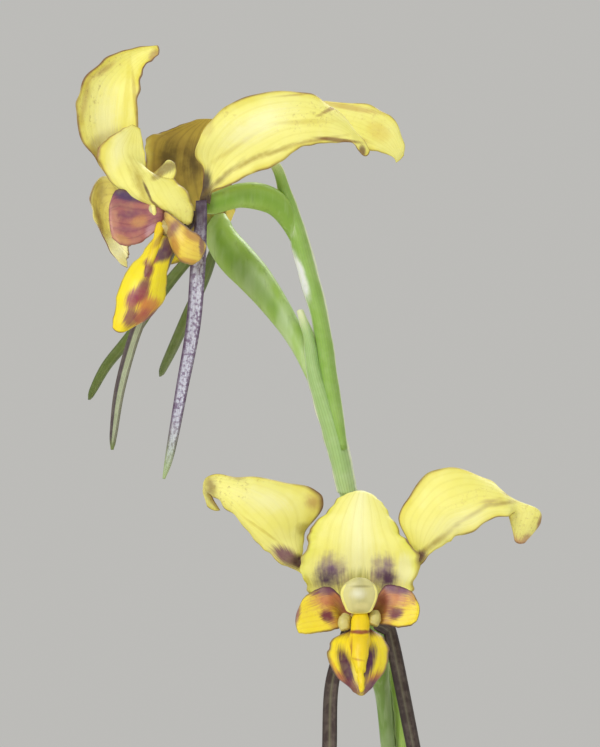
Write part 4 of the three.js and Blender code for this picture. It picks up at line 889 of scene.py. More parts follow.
topFlower = {
    "prefix": "top", "heart": (-26.6, -5, 264.25),
    "dorsalSepal": [
        [[-1.9, -0.6, 0.6], [-1.6, -1.6, -0.2], [-1.3, -2.4, -1]],
        [[-4.4, -2.2, 0.4], [-3.2, -3.9, -1.4], [-1.7, -3.9, -2.5]],
        [[-7.9, -3.4, 0.35], [-4.75, -4.7, -0.2], [-1, -3.6, -1]],
        [[-10.9, -3.8, 2.35], [-6.1, -4.6, 1.2], [-1.8, -3.3, 1.3]],
        [[-13, -4, 5.5], [-7, -4, 3.1], [-3.6, -2.8, 2.9]],
        [[-12.3, -4, 7.6], [-8.8, -3.2, 5.9], [-6.6, -2.2, 3.9]],
        [[-10.4, -3.6, 9], [-8.7, -2.8, 8], [-7.2, -2.2, 6.6]],
        [[-8.7, -3.1, 9.9], [-8.2, -2.9, 9.7], [-7.7, -2.7, 9.4]],
    ],
    "hoodFold": [
        [[-6.4, -2.2, 3.6], [-5, -2.5, 3.2], [-3.6, -2.8, 2.8]],
        [[-5.3, -2, 4.6], [-4.5, -2.2, 4.3], [-3.2, -2.4, 4.1]],
        [[-4.4, -1.8, 5.4], [-4, -1.9, 5.5], [-3.4, -2, 5.1]],
    ],
    "leftPetal": [
        [[-1.7, 1.3, -0.75], [-1.6, 1.3, -0.15], [-1.5, 1.3, 0.45]],
        [[-6.15, 0.8, -0.25], [-6, 0.9, 0.35], [-5.85, 0.8, 0.95]],
        [[-10.6, -0.6, 1.9], [-10, -0.4, 2.2], [-9.3, -0.3, 2.5]],
        [[-12.7, -1.6, 4.75], [-11.2, -0.8, 5.15], [-9.1, -0.4, 4.25]],
        [[-14.7, -2.4, 7.85], [-11.9, -0.8, 8.55], [-8.1, -0.6, 7.35]],
        [[-15.6, -2.8, 11.7], [-12, -0.6, 12.1], [-8, -1.2, 11]],
        [[-15.1, -2.4, 14.8], [-11.3, -0.2, 15], [-7.9, -1.4, 14.2]],
        [[-12.2, -0.6, 18], [-9.5, 0.8, 17.2], [-7.6, -0.8, 16.4]],
        [[-9, 0.8, 19.5], [-7.5, 1.2, 18.7], [-6.6, -0.4, 17.7]],
        [[-5.6, 1.2, 19.9], [-5.4, 0.8, 19.4], [-5.5, 0, 18.7]],
    ],
    "rightPetal": [
        [[-0.4, -1.7, 0.45], [0.25, -1.7, 0.3], [0.9, -1.7, 0.05]],
        [[0, -2, 2.25], [0.6, -2, 2], [1.4, -2, 1.75]],
        [[0.1, -2.3, 4.5], [1.4, -1.9, 4], [2.9, -2.1, 2.25]],
        [[-1, -3.2, 6.75], [3.1, -2.2, 6.5], [5.9, -2.6, 3.65]],
        [[1.1, -2.8, 10.5], [5.9, -3.2, 8.75], [9, -3.4, 4.75]],
        [[5, -2.2, 13.2], [9, -3.8, 10.15], [11.5, -3.8, 6.75]],
        [[10.2, -1.8, 14.1], [12.7, -3.8, 10.7], [14, -3.8, 7.35]],
        [[14.3, -2.2, 13.2], [15.5, -3.6, 10.3], [16.5, -3.6, 7.65]],
        [[17.6, -2.4, 10.85], [17.9, -3.2, 9.15], [18.4, -3.4, 7.65]],
        [[19.9, -2.6, 8], [19.4, -3.2, 7.35], [19.1, -3.6, 7]],
        [[20.75, -2.8, 6.65], [20.4, -3.2, 6], [19.75, -3.4, 6.15]],
    ],
    "sepalFacing": [-0.35, -0.94, 0],
    "leftLateralSepal": [
        [-0.6, -0.4, -1, 1.2], [-3.5, -2, -4.9, 1.4], [-6, -3, -10.5, 1.4], [-8.4, -3, -16.25, 1.4],
        [-10.2, -3, -22.75, 1.3], [-11, -3, -28.2, 0.9], [-11.2, -3, -30.4, 0.3],
    ],
    "rightLateralSepal": [
        [-0.1, -2.2, 0.5, 1.4], [-0.25, -3.2, -3.65, 1.6], [-0.5, -3.6, -7.35, 1.9], [-1.1, -3.6, -15, 1.8],
        [-2.5, -3.2, -22.75, 1.5], [-3.9, -3, -30.35, 1.1], [-4.8, -3, -34, 0.3],
    ],
    "lip": {
        "leftLobe": [
            [[-4.4, -3.6, -1.2], [-4.3, -3.8, -1.8], [-4.3, -4, -2.6]],
            [[-5.4, -4, -0.1], [-5.25, -4.6, -1.5], [-5.5, -5, -3.1]],
            [[-6.9, -3.8, 0.75], [-7, -5, -2], [-6.6, -5.8, -4.1]],
            [[-8.9, -4, 1.6], [-8.9, -5.4, -2.25], [-8.1, -6.4, -5]],
            [[-10.6, -4.4, 1.75], [-10.5, -5.8, -2], [-9.9, -6.8, -5.1]],
            [[-11.4, -5, 0.1], [-11.5, -5.8, -1.75], [-11.1, -6.6, -4.25]],
        ],
        "rightLobe": [
            [[-4.6, -4.2, -1.2], [-4.6, -4.4, -2], [-4.6, -4.3, -3]],
            [[-4.4, -4.8, -0.9], [-4.4, -5, -2], [-4.4, -4.8, -3.5]],
            [[-3, -5.8, -2], [-3.4, -6.4, -3.5], [-3.9, -5.6, -5.25]],
            [[-1.6, -6.4, -3.1], [-2.25, -7.2, -4.9], [-2.9, -6.2, -6.75]],
            [[-0.25, -6.2, -4], [-0.9, -7, -5.6], [-1.6, -6.2, -7.5]],
            [[0.5, -5.8, -5.1], [0.25, -6.2, -6.1], [-0.4, -6, -7.1]],
        ],
        "middleLobe": [
            [[-5.4, -5.2, -3.75], [-4.6, -5.6, -4], [-3.9, -5.2, -4.4]],
            [[-6.6, -5.8, -5.25], [-5.4, -6.8, -5.5], [-3.6, -5.6, -6]],
            [[-8.1, -6, -7], [-6.25, -7.6, -7.75], [-4.25, -6.2, -7.75]],
            [[-9.6, -6.8, -8.9], [-7, -8.4, -9.75], [-4.4, -6.4, -10.1]],
            [[-10.4, -7.4, -11.4], [-7.75, -8.8, -11.9], [-4.9, -6.8, -12.25]],
            [[-10.75, -7.8, -13.5], [-8.6, -8.8, -13.9], [-6.5, -7.4, -14]],
            [[-11, -8.2, -15.25], [-10.25, -8.6, -15.9], [-9.1, -8.2, -15.6]],
        ],
        "claw": [[-1.6, -1.8, -1.2, 0.9], [-3.4, -3.4, -1.9, 1.1], [-4.9, -5, -3.8, 1.2]],
        "ridges": [
            [
                [-5.2, -5.2, -2.2, 0.7], [-5.4, -6, -3.8, 0.9], [-5.9, -7.2, -5.8, 0.9],
                [-6.6, -8, -8, 0.7], [-7.3, -8.6, -10.2, 0.5],
            ],
        ],
    },
    "column": {
        "stalk": [[-1.3, -0.9, -0.4, 0.7], [-3.4, -2.1, -0.8, 0.8], [-5.9, -3.8, -1.1, 0.9]],
        "shield": [
            [[-6, -3.9, 0], [-6.2, -3.7, 0.1], [-6.4, -3.3, 0]],
            [[-5.8, -4.4, -0.3], [-6.6, -3.8, -0.3], [-6.7, -2.9, -0.3]],
            [[-5.7, -4.6, -0.9], [-6.8, -4, -0.9], [-6.8, -2.7, -0.9]],
            [[-5.7, -4.5, -1.6], [-6.5, -4, -1.7], [-6.6, -2.9, -1.6]],
            [[-5.8, -4.2, -2.2], [-6.1, -4, -2.3], [-6.3, -3.4, -2.2]],
        ],
    },
}

backFlower = {
    "prefix": "back", "heart": (-25.5, 8, 260.5),
    "dorsalSepal": [
        [[-1.2, -0.8, 1.2], [0, -0.1, 1.4], [1.2, 0.6, 1.2]],
        [[-5, -2.4, 3.5], [-1.5, -1.4, 3], [1.5, 1.4, 3.5]],
        [[-7.75, -4.1, 6.4], [-2.5, -2.5, 5.75], [2.4, 1.6, 6.1]],
        [[-8.4, -5.1, 9.5], [-2.9, -3.4, 8.5], [2.75, 1, 8.9]],
        [[-8.1, -5.3, 12.25], [-2.6, -3.8, 11.1], [2.4, 0.2, 11.4]],
        [[-5.5, -4.6, 13.4], [-1.9, -3.5, 13.2], [1.5, -1.9, 13.3]],
        [[-2, -4, 14.7], [-0.6, -3.5, 14.8], [0.7, -3, 14.7]],
    ],
    "leftPetal": [
        [[-0.9, -0.9, 0.9], [-0.75, -1, 0.4], [-0.6, -0.9, -0.1]],
        [[-4.1, -0.8, 1.9], [-4, -0.9, 1.25], [-3.9, -0.8, 0.6]],
        [[-6.8, -0.8, 3.2], [-6.75, -0.9, 2.5], [-6.6, -0.8, 1.7]],
        [[-8.25, -0.4, 5.75], [-8.5, -0.8, 3.9], [-8.25, -1.2, 1.75]],
        [[-11.5, -0.8, 7.5], [-11.25, -0.2, 4.1], [-9.6, -1.4, 0.5]],
        [[-14.4, -1.6, 7.25], [-13.25, -0.2, 3.75], [-10.25, -1.6, -0.75]],
        [[-15.25, -2.2, 4.5], [-13.6, -0.8, 1.75], [-10.5, -1.8, -1.75]],
        [[-14.5, -2.6, 1.4], [-12.9, -1.6, -0.25], [-10.6, -2, -2.5]],
        [[-12.9, -2.6, -1.75], [-12, -2.3, -2.2], [-10.75, -2.2, -3]],
        [[-11.6, -2.4, -3.4], [-11.2, -2.4, -3.7], [-10.7, -2.4, -3.9]],
    ],
    "rightPetal": [
        [[0.3, 0.8, 1.6], [0.9, 0.8, 1.4], [1.5, 0.8, 1.2]],
        [[0.6, 1.6, 3.8], [1.2, 1.6, 3.7], [1.8, 1.6, 3.6]],
        [[0.8, 2, 6.6], [1.5, 2, 6.5], [2.2, 2, 6.3]],
        [[1.6, 2.2, 10.4], [3, 1.8, 9.8], [4, 2, 9.2]],
        [[5.2, 1.8, 14.9], [7.4, 1, 13.3], [9, 0.8, 11.9]],
        [[11, 1.2, 17.1], [12.9, 0.2, 15], [14.75, -0.4, 12]],
        [[16, 1, 17], [16.6, 0, 15], [17.9, -0.6, 12]],
        [[20, 0.8, 16.5], [19.5, 0, 14.1], [19.75, -0.4, 11.1]],
        [[23, 0.8, 14.75], [22, 0.2, 12.5], [21.75, 0, 10.5]],
        [[24.1, 0.8, 11.9], [23.25, 0.4, 10.75], [22.9, 0.4, 9.9]],
        [[24.1, 0.7, 10.3], [23.6, 0.6, 9.75], [23.1, 0.5, 9.4]],
    ],
    "sepalFacing": [-0.5, 0.87, 0],
    "leftLateralSepal": [
        [-1.3, 0.6, -0.9, 1.2], [-4.6, 2.6, -4.5, 1.5], [-7.8, 5, -8.6, 1.6], [-10.5, 7.6, -12.4, 1.6],
        [-13.6, 10.4, -16.1, 1.4], [-15.4, 12.4, -19.2, 1], [-16, 13.2, -20.5, 0.3],
    ],
    "rightLateralSepal": [
        [0.2, 1, -1.4, 1.2], [-1, 3, -4.9, 1.5], [-3, 5.8, -9.25, 1.6], [-5, 9.4, -13.6, 1.5],
        [-6.4, 12.6, -16.4, 1.1], [-6.9, 13.9, -17.5, 0.3],
    ],
}
backTurn = (28, -130)  # degrees: tipped back, turned about Z


def strapRows(spine, facing):
    # a narrow blade along a spine of x, y, z and width, hollowed along its middle
    spine = np.asarray(spine, float)
    course = spine[:, :3]
    shares = np.arange(len(spine)) / (len(spine) - 1)
    nudge = 1e-4
    ahead = unit(rail(course, np.minimum(shares + nudge, 1)) - rail(course, np.maximum(shares - nudge, 0)))
    face = unit(np.asarray(facing, float))
    side = unit(np.cross(ahead, face))
    half = spine[:, 3:] / 2
    lift = face * sepalShape["channel"] * half
    return np.stack([course + side * half + lift, course - lift, course - side * half + lift], 1)


# How the blades differ from plainBlade; a strap's channel is its depth as a share of half its width
petalShape = {
    "along": 110, "across": 44, "thick": 0.34, "wave": 0.15, "frill": 0.12, "frills": 8, "nibble": 0.025,
    "passes": 18,
}
sepalShape = {"along": 90, "across": 14, "thick": 0.55, "channel": 0.2, "thin": 0.5, "passes": 10}
lobeShape = {"along": 48, "across": 30, "frill": 0.07, "frills": 4, "nibble": 0.012, "passes": 10}
foldShape = {"along": 20, "across": 12}
shieldShape = {"along": 26, "across": 20, "thick": 0.7, "thin": 0.3, "passes": 8}
hoodNibble = {"low": 0.03, "top": 0.02, "back": 0.02}
seeds = {"hood": 3, "left": 5, "right": 6, "leftLobe": 40, "rightLobe": 41, "middleLobe": 42}

# Small rounded parts: the low lip's thin lower ridge (x, y, z and girth), and how the ridges and rims stand
lowKeel = [(0.15, -8.6, -6, 0.3), (0.2, -9.1, -7.2, 0.42), (0.3, -9.5, -8.6, 0.36), (0.25, -9.6, -9.3, 0.2)]
tubeShapes = {
    "claw": {"rings": 14}, "keel": {"rings": 24, "beads": 0.1}, "ridge": {"rings": 30, "sides": 20},
    "rim": {"rings": 70, "sides": 10}, "stalk": {"rings": 16},
}
ridgeBeads = {"first": 0.06, "others": 0.03}
topRidge = {"lift": 0.3, "girth": 0.6}                  # mm, and a share of the solid's girth
columnRim = {"inset": 0.09, "lift": 0.25, "girth": 0.3}  # share of the width, mm, mm
finishes = {}


def finish(name, look):
    if name not in finishes:
        finishes[name] = bladeFinish(name, look)
    return finishes[name]


def tube(path, shapeName, name, look):
    return tubeShell(path, tubeShapes[shapeName]), finish(name, look)


def lipShells(flower, kind):
    lip, shells = flower["lip"], []
    for lobe in ("leftLobe", "rightLobe", "middleLobe"):
        name = f"{kind}_{lobe.replace('Lobe', '_lobe')}"
        shells.append((bladeShell(lip[lobe], lobeShape, seeds[lobe]), finish(name, lipLooks[name])))
    shells.append(tube(lip["claw"], "claw", "lip_shaft", tubeLooks["shaft"]))
    if flower["prefix"] == "low":
        shells.append(tube(lowKeel, "keel", "lip_callus", tubeLooks["callus"]))
    for k, path in enumerate(lip["ridges"]):
        look = "ridgeTop" if kind == "top" else "callus" if k == 0 else "bump"
        if kind == "top":
            path = [(x, y + topRidge["lift"], z, topRidge["girth"] * girth) for x, y, z, girth in path]
        shape = tubeShapes["ridge"] | {"beads": ridgeBeads["others" if k else "first"], "seed": k}
        shells.append((tubeShell(path, shape), finish(f"lip_{look}", tubeLooks[look])))
    return shells


def rimPath(shield):
    # once round the shield's outline and a little on, drawn in and forward
    shield = np.asarray(shield, float)
    outline = np.concatenate([shield[:, 0], shield[::-1, 2], shield[:2, 0]])
    front = unit(shield[2, 1] - (shield[2, 0] + shield[2, 2]) / 2)
    course = outline + (outline.mean(0) - outline) * columnRim["inset"] + front * columnRim["lift"]
    return np.column_stack([course, np.full(len(outline), columnRim["girth"])])


def addFlower(flower, kind):
    prefix, heart = flower["prefix"], np.asarray(flower["heart"], float)

    def add(part, shells):
        moved = [((points + heart, faces, spread), use) for (points, faces, spread), use in shells]
        addPiece(f"{prefix}_{part}_skin", moved, f"{prefix}_{part}")

    shield = flower["column"]["shield"]
    add("column", [
        (bladeShell(shield, shieldShape), finish("column_shield_with_painted_light", columnLook)),
        tube(rimPath(shield), "rim", "column_rim", columnRimLook),
        tube(flower["column"]["stalk"], "stalk", "column_shaft", tubeLooks["shaft"]),
    ])
    add("labellum", lipShells(flower, kind))
    dorsal = finish(f"{prefix}_dorsal", petalLooks[f"{prefix}_dorsal_sepal"])
    hoodShape = petalShape | {"nibble": hoodNibble[prefix]}
    hood = [(bladeShell(flower["dorsalSepal"], hoodShape, seeds["hood"]), dorsal)]
    if "hoodFold" in flower:
        hood.append((bladeShell(flower["hoodFold"], foldShape), dorsal))
    add("dorsal_sepal", hood)
    for side in ("left", "right"):
        ear = bladeShell(flower[f"{side}Petal"], petalShape, seeds[side])
        look = petalLooks[f"{prefix}_{side}_petal"]
        add(f"{side}_petal", [(ear, finish(f"{prefix}_{side}_ear", look))])
        strap = bladeShell(strapRows(flower[f"{side}LateralSepal"], flower["sepalFacing"]), sepalShape)
        look = sepalLooks[f"{prefix}_{side}"]
        add(f"{side}_lateral_sepal", [(strap, finish(f"{prefix}_{side}_strap", look))])
    print("flower dressed:", prefix)


# Geometry Nodes
def newTree(name, inputs):
    tree = bpy.data.node_groups.new(name, "GeometryNodeTree")
    for label, kind, value in [("Geometry", "Geometry", None), *inputs, ("Finish", "Material", None)]:
        socket = tree.interface.new_socket(label, in_out="INPUT", socket_type=f"NodeSocket{kind}")
        if value is not None:
            socket.default_value = value
    tree.interface.new_socket("Geometry", in_out="OUTPUT", socket_type="NodeSocketGeometry")
    return tree, tree.nodes.new("NodeGroupInput").outputs


def step(tree, kind, settings=None, **values):
    node = tree.nodes.new(kind)
    for name, value in (settings or {}).items():
        setattr(node, name, value)
    for label, value in values.items():
        feed(tree, node.inputs[label.replace("_", " ")], value)
    return node


def alongNormal(tree, amount):
    push = step(tree, "ShaderNodeVectorMath", {"operation": "SCALE"}, Scale=amount)
    tree.links.new(tree.nodes.new("GeometryNodeInputNormal").outputs[0], push.inputs[0])
    return push.outputs[0]


def closed(tree, shape, given):
    shape = step(tree, "GeometryNodeRealizeInstances", Geometry=shape).outputs[0]
    shape = step(tree, "GeometryNodeSetMaterial", Geometry=shape, Material=given["Finish"]).outputs[0]
    tree.links.new(shape, tree.nodes.new("NodeGroupOutput").inputs[0])
    return tree


def grown(holder, tree, values):
    # runs the tree on the holder and keeps the result as a plain mesh
    modifier = holder.modifiers.new("grow", "NODES")
    modifier.node_group = tree
    for item in tree.interface.items_tree:
        if item.in_out == "INPUT" and item.name in values:
            modifier[item.identifier] = values[item.name]
    holder.update_tag()
    bpy.context.view_layer.update()
    shape = bpy.data.meshes.new_from_object(holder.evaluated_get(bpy.context.evaluated_depsgraph_get()))
    holder.modifiers.clear()
    holder.data = shape
    return holder


def pathHolder(name, paths):
    # polylines with a girth and a share of ribbing at each point
    points, edges, girths, ribbings = [], [], [], []
    for path, count, ribFrom in paths:
        path, shares = np.asarray(path), np.linspace(0, 1, count)
        centre = rail(path[:, :3], shares)
        girth = rail(np.repeat(path[:, 3:], 3, 1), shares)[:, 0]
        edges += [(len(points) + k, len(points) + k + 1) for k in range(count - 1)]
        points += (centre * mm).tolist()
        girths += (girth * mm).tolist()
        ribbings += np.clip((shares - ribFrom) * stalk["ribRun"], 0, 1).tolist()
    mesh = bpy.data.meshes.new(name)
    mesh.from_pydata(points, edges, [])
    for label, values in (("girth", girths), ("ribbing", ribbings)):
        mesh.attributes.new(label, "FLOAT", "POINT").data.foreach_set("value", values)
    return linked(name, mesh)


# Stalk: points of x, y, z and radius in mm
stalk = {
    "stem": [
        (0, 0, 62, 1.7), (0, 0, 88, 1.7), (0.2, 0.2, 120, 1.6), (-0.3, 0.4, 150, 1.5), (-1.2, 0.4, 175, 1.4),
        (-2.5, 0.4, 196.6, 1.25), (-3.4, 0.3, 205, 1.25), (-5.45, 0, 215, 1.2), (-6.85, 0, 221.25, 1.2),
        (-8.4, 0, 228.25, 1.15), (-9.4, 0, 233.1, 1.15), (-10.4, 0, 238.1, 1.1), (-11, 0, 242.75, 1),
        (-11.6, 0, 247.5, 0.95), (-12.5, 0, 252.5, 0.9), (-13.6, -0.3, 256.9, 0.9), (-14.75, -0.6, 260, 0.95),
        (-16, -1.2, 262.5, 1.2), (-17.6, -2, 264.5, 1.55), (-19.75, -3, 265.4, 1.65), (-22, -3.8, 265.5, 1.5),
        (-24.1, -4.5, 264.9, 1.35), (-25.5, -4.9, 264.4, 1.25), (-26.5, -5, 264.2, 0.9),
    ],
    "backOvary": [
        (-10, -0.3, 236, 0.8), (-11.4, -0.6, 239.4, 0.85), (-12.6, -0.4, 242.5, 0.95),
        (-14.1, 0.4, 246, 1.15),
        (-15.75, 1.4, 249.1, 1.4), (-17.9, 2.8, 252.4, 1.75), (-20.1, 4.2, 255.25, 2.1),
        (-22.25, 5.8, 257.6, 2.25),
        (-23.7, 7, 259.4, 2.1), (-24.4, 7.6, 260.8, 1.9), (-24.6, 8, 262.2, 1.5), (-24.6, 8.3, 263.2, 0.9),
    ],
    "lowOvary": [
        (-2.2, -0.4, 187, 0.8), (-2.9, -1.4, 192, 0.85), (-3.5, -2.2, 196.6, 0.9), (-4.25, -3.2, 203.75, 1),
        (-5.4, -4.8, 208.1, 1.65), (-6.5, -6.2, 211.25, 1.6), (-7.1, -7.2, 212.9, 1.3),
        (-7.25, -7.9, 213.7, 0.9),
    ],
    "counts": {"stem": 260, "backOvary": 90, "lowOvary": 80},       # points along each
    "ribFrom": {"stem": 0.72, "backOvary": 0.3, "lowOvary": 0.45},  # share of the length where ribs start
    "ribRun": 8, "ribs": 3, "ribDepth": 0.1,                        # the depth as a share of the radius
    "sides": 30,
    "shades": [  # height in mm and colour
        (60, "6a5a44"), (92, "7d8a4c"), (150, "66803a"), (196, "6f8f3e"), (215, "86aa4c"), (232, "b4cf86"),
        (250, "a4c468"), (262, "86ac3c"),
    ],
    # The ridge colour lightens the rib crests: a painted highlight on the ribs.
    "ribbing": "7ba428", "ridge": "a9cc5c", "ribTint": 0.8,
    "grains": [(0.15, 1500), (0.3, 260), (0.06, 900)],  # how far each is drawn out, and its scale
    "coats": [  # low and high noise level, depth and colour, for the grains above
        (0.55, 0.75, 0.3, "5f7a34"), (0.45, 0.7, 0.3, "dbe7c8"), (0.48, 0.66, 0.25, "d3e2bc"),
    ],
    "roughness": 0.42, "relief": 0.05, "glow": 0.12,
}


def stemTree():
    tree, given = newTree("ribbed stems", [("Sides", "Int", 24), ("Rib Depth", "Float", 0.1)])
    girth, ribbing = (
        step(tree, "GeometryNodeInputNamedAttribute", {"data_type": "FLOAT"}, Name=label).outputs[0]
        for label in ("girth", "ribbing")
    )
    course = step(tree, "GeometryNodeMeshToCurve", Mesh=given["Geometry"]).outputs[0]
    course = step(tree, "GeometryNodeSetCurveRadius", Curve=course, Radius=girth).outputs[0]
    ring = step(tree, "GeometryNodeCurvePrimitiveCircle", Resolution=given["Sides"], Radius=1.0).outputs[0]
    turn = tree.nodes.new("GeometryNodeCaptureAttribute")
    turn.capture_items.new("FLOAT", "turn")
    feed(tree, turn.inputs["Geometry"], ring)
    feed(tree, turn.inputs["turn"], tree.nodes.new("GeometryNodeSplineParameter").outputs["Factor"])
    tube = step(tree, "GeometryNodeCurveToMesh", Curve=course, Profile_Curve=turn.outputs["Geometry"],
                Fill_Caps=True)
    if "Scale" in tube.inputs:
        feed(tree, tube.inputs["Scale"], tree.nodes.new("GeometryNodeInputRadius").outputs[0])
    angle = calc(tree, "MULTIPLY_ADD", turn.outputs["turn"], 2 * math.pi * stalk["ribs"], math.pi / 2)
    lobe = calc(tree, "COSINE", angle)
    depth = calc(tree, "MULTIPLY", calc(tree, "MULTIPLY", girth, ribbing), given["Rib Depth"])
    offset = alongNormal(tree, calc(tree, "MULTIPLY", lobe, depth))
    shape = step(tree, "GeometryNodeSetPosition", Geometry=tube.outputs[0], Offset=offset).outputs[0]
    # how far each point sits on a rib's crest, which the finish paints lighter as a highlight
    ridge = calc(tree, "MULTIPLY", calc(tree, "MULTIPLY_ADD", lobe, 0.5, 0.5), ribbing)
    shape = step(tree, "GeometryNodeStoreNamedAttribute", {"data_type": "FLOAT", "domain": "POINT"},
                 Geometry=shape, Name="ridge", Value=ridge).outputs[0]
    shape = step(tree, "GeometryNodeSetShadeSmooth", Geometry=shape).outputs[0]
    return closed(tree, shape, given)


def stemFinish():
    material, tree, shader = newFinish("stem_skin", stalk["roughness"])
    height, shades = heights(tree), stalk["shades"]
    coats = []
    for (low, _), (high, shade) in zip(shades, shades[1:]):
        coats.append((ease(tree, height, low * mm, high * mm), shade))
    grains, tints = [], []
    for (drawn, scale), (low, high, depth, shade) in zip(stalk["grains"], stalk["coats"]):
        grains.append(noise(tree, stretched(tree, places(tree), (1, 1, drawn)), scale))
        tints.append((ease(tree, grains[-1], low, high, depth), shade))
    fine, broad, streak = tints
    coats.append(streak)
    # the ribbed parts take a deeper green, and their crests a painted highlight
    for label in ("ribbing", "ridge"):
        given = tree.nodes.new("ShaderNodeAttribute")
        given.attribute_name = label
        coats.append((calc(tree, "MULTIPLY", given.outputs["Fac"], stalk["ribTint"]), stalk[label]))
    coats += [broad, fine]
    feed(tree, shader.inputs["Base Color"], coated(tree, tint(shades[0][1]), coats))
    bumped(tree, shader, calc(tree, "MULTIPLY_ADD", grains[1], 0.7, grains[0]), stalk["relief"])
    tissue(tree, shader, stalk["glow"])
    return material


def addStem():
    parts = [(stalk[name], count, stalk["ribFrom"][name]) for name, count in stalk["counts"].items()]
    sizes = {"Sides": stalk["sides"], "Rib Depth": stalk["ribDepth"], "Finish": stemFinish()}
    holder = grown(pathHolder("stem_skin", parts), stemTree(), sizes)
    settle(holder, "flower_stem")
    print("stem grown:", len(holder.data.polygons), "faces")


# Bracts and leaves
bracts = {
    "sheath": {
        "foot": 128, "stemY": 0.4, "lean": -0.3,
        "steps": [  # height over the foot, half width, and how far the middle and the edges stand in front
            (0, 2.1, 2.3, -0.6), (8, 2.1, 2.3, -0.5), (17, 1.9, 2.2, -0.2), (25, 1.6, 2.15, 0.2),
            (32, 1.2, 2.3, 1.1), (37, 0.7, 2.7, 2.2), (41, 0.3, 3.2, 3.1),
        ],
    },
    "middleY": -1.9, "depth": 0.55, "deepest": 1.5,
    "low": [
        [[-2.5, -0.6, 191.2], [-1.5, -1.9, 191.2], [-0.5, -0.6, 191.3]],
        [[-2.5, -0.9, 196.2], [-1.75, -2, 196.2], [-1, -0.9, 196.3]],
        [[-2.7, -1.3, 200.6], [-2.12, -2, 200.6], [-1.5, -1.3, 200.7]],
        [[-3.1, -1.6, 204.3], [-2.75, -2, 204.4], [-2.3, -1.6, 204.4]],
        [[-3.45, -1.9, 207.2], [-3.25, -2, 207.3], [-3, -1.9, 207.3]],
    ],
    "middle": [
        [[-9.9, 228.5], [-8.6, 228.25], [-7.4, 228.75]], [[-10.6, 231.9], [-9.4, 231.75], [-8, 232.1]],
        [[-11.75, 236], [-10.4, 235.9], [-9, 236.25]], [[-12.9, 240], [-11.6, 239.75], [-10.5, 240.25]],
        [[-13.7, 243.75], [-12.75, 243.6], [-11.9, 244.25]], [[-14, 247.5], [-13.4, 247.5], [-12.7, 247.75]],
        [[-14.9, 251.1], [-14.5, 251.3], [-14.1, 251.2]],
    ],
    "top": [
        [[-10.2, 233.8], [-9.1, 233.75], [-8.6, 234]], [[-11.6, 239.4], [-10.25, 239.4], [-9.3, 239.6]],
        [[-12.3, 243.8], [-11, 243.75], [-10, 244]], [[-12.8, 248.8], [-11.75, 248.75], [-10.7, 249]],
        [[-13.9, 253.1], [-12.75, 253.1], [-11.6, 253.3]], [[-15.1, 257.2], [-13.9, 257.25], [-12.7, 257.6]],
        [[-16.1, 261.8], [-15.1, 261.9], [-14.1, 262.2]], [[-16.9, 264.9], [-16.1, 265], [-15.3, 265.3]],
        [[-17.7, 268.1], [-17.1, 268.25], [-16.5, 268.5]], [[-18.5, 270], [-18.1, 270.25], [-17.6, 270.4]],
    ],
    "shape": {"along": 60, "across": 18, "thick": 0.34, "frill": 0.05, "frills": 6, "passes": 10},
    "finish": {"base": "a3c47a", "cloud": "bcd49a", "veins": ("7f9e50", 9, 0.45), "rim": ("eef0d8", 0.3, 0.9),
               "tip": ("dfe6b8", 0.86), "grain": "e2edc4", "glow": 0.2, "cloudScale": 200},
    "lowFinish": {"base": "9cc44e", "cloud": "b2d468", "rim": ("d9e9a4", 0.25, 0.7)},
    "topFinish": {
        "base": "8db44c", "cloud": "a0c264",
        "blotches": [
            [[-14.5, 255.6, 0.75, 3.4, -20], "f0f2ee", 1, 0.3],
            [[-16.3, 263, 0.6, 3, -24], "cfdcae", 0.8, 0.5],
        ],
    },
}
leaves = {
    "each": [  # azimuth in degrees, reach and height in mm, half width in mm
        (205, 50, 78, 2.4), (328, 54, 92, 2.2), (82, 46, 64, 2.5),
    ],
    "start": 2.5, "base": 87.4, "channel": 0.9,
    "course": [  # share of the reach, of the height and of the half width
        (0, 0, 0.62), (0.008, 0.08, 0.7), (0.05, 0.32, 0.9), (0.18, 0.62, 1), (0.44, 0.88, 0.92),
        (0.76, 1, 0.6),
        (1, 0.9, 0.13),
    ],
    "shape": {"along": 130, "across": 18, "thick": 0.6, "passes": 10, "frill": 0.03, "frills": 5},
    "finish": {"base": "5c8836", "cloud": "71993f", "cloudScale": 60, "veins": ("47712a", 11, 0.45),
               "foot": ("c2c79a", 0.12),
               "middle": ("83a95a", 0.12, 0.7), "tip": ("a8803c", 0.93), "rim": ("4f7730", 0.15, 0.5),
               "grain": "9abf6c",
               "relief": 0.08, "glow": 0.06, "roughness": 0.4},
}


def bractRows(rows):
    # rows of x and z, with their depth worked out from the width
    made, middleY = [], bracts["middleY"]
    for first, middle, last in rows:
        width = math.hypot(last[0] - first[0], last[1] - first[1])
        edgeY = middleY + min(bracts["deepest"], bracts["depth"] * width)
        made.append([[first[0], edgeY, first[1]], [middle[0], middleY, middle[1]], [last[0], edgeY, last[1]]])
    return made


def sheathRows():
    sheath, rows = bracts["sheath"], []
    tall, stemY = sheath["steps"][-1][0], sheath["stemY"]
    for rise, half, middle, edge in sheath["steps"]:
        x, z = sheath["lean"] * rise / tall, sheath["foot"] + rise
        rows.append([[x - half, stemY - edge, z], [x, stemY - middle, z], [x + half, stemY - edge, z]])
    return rows


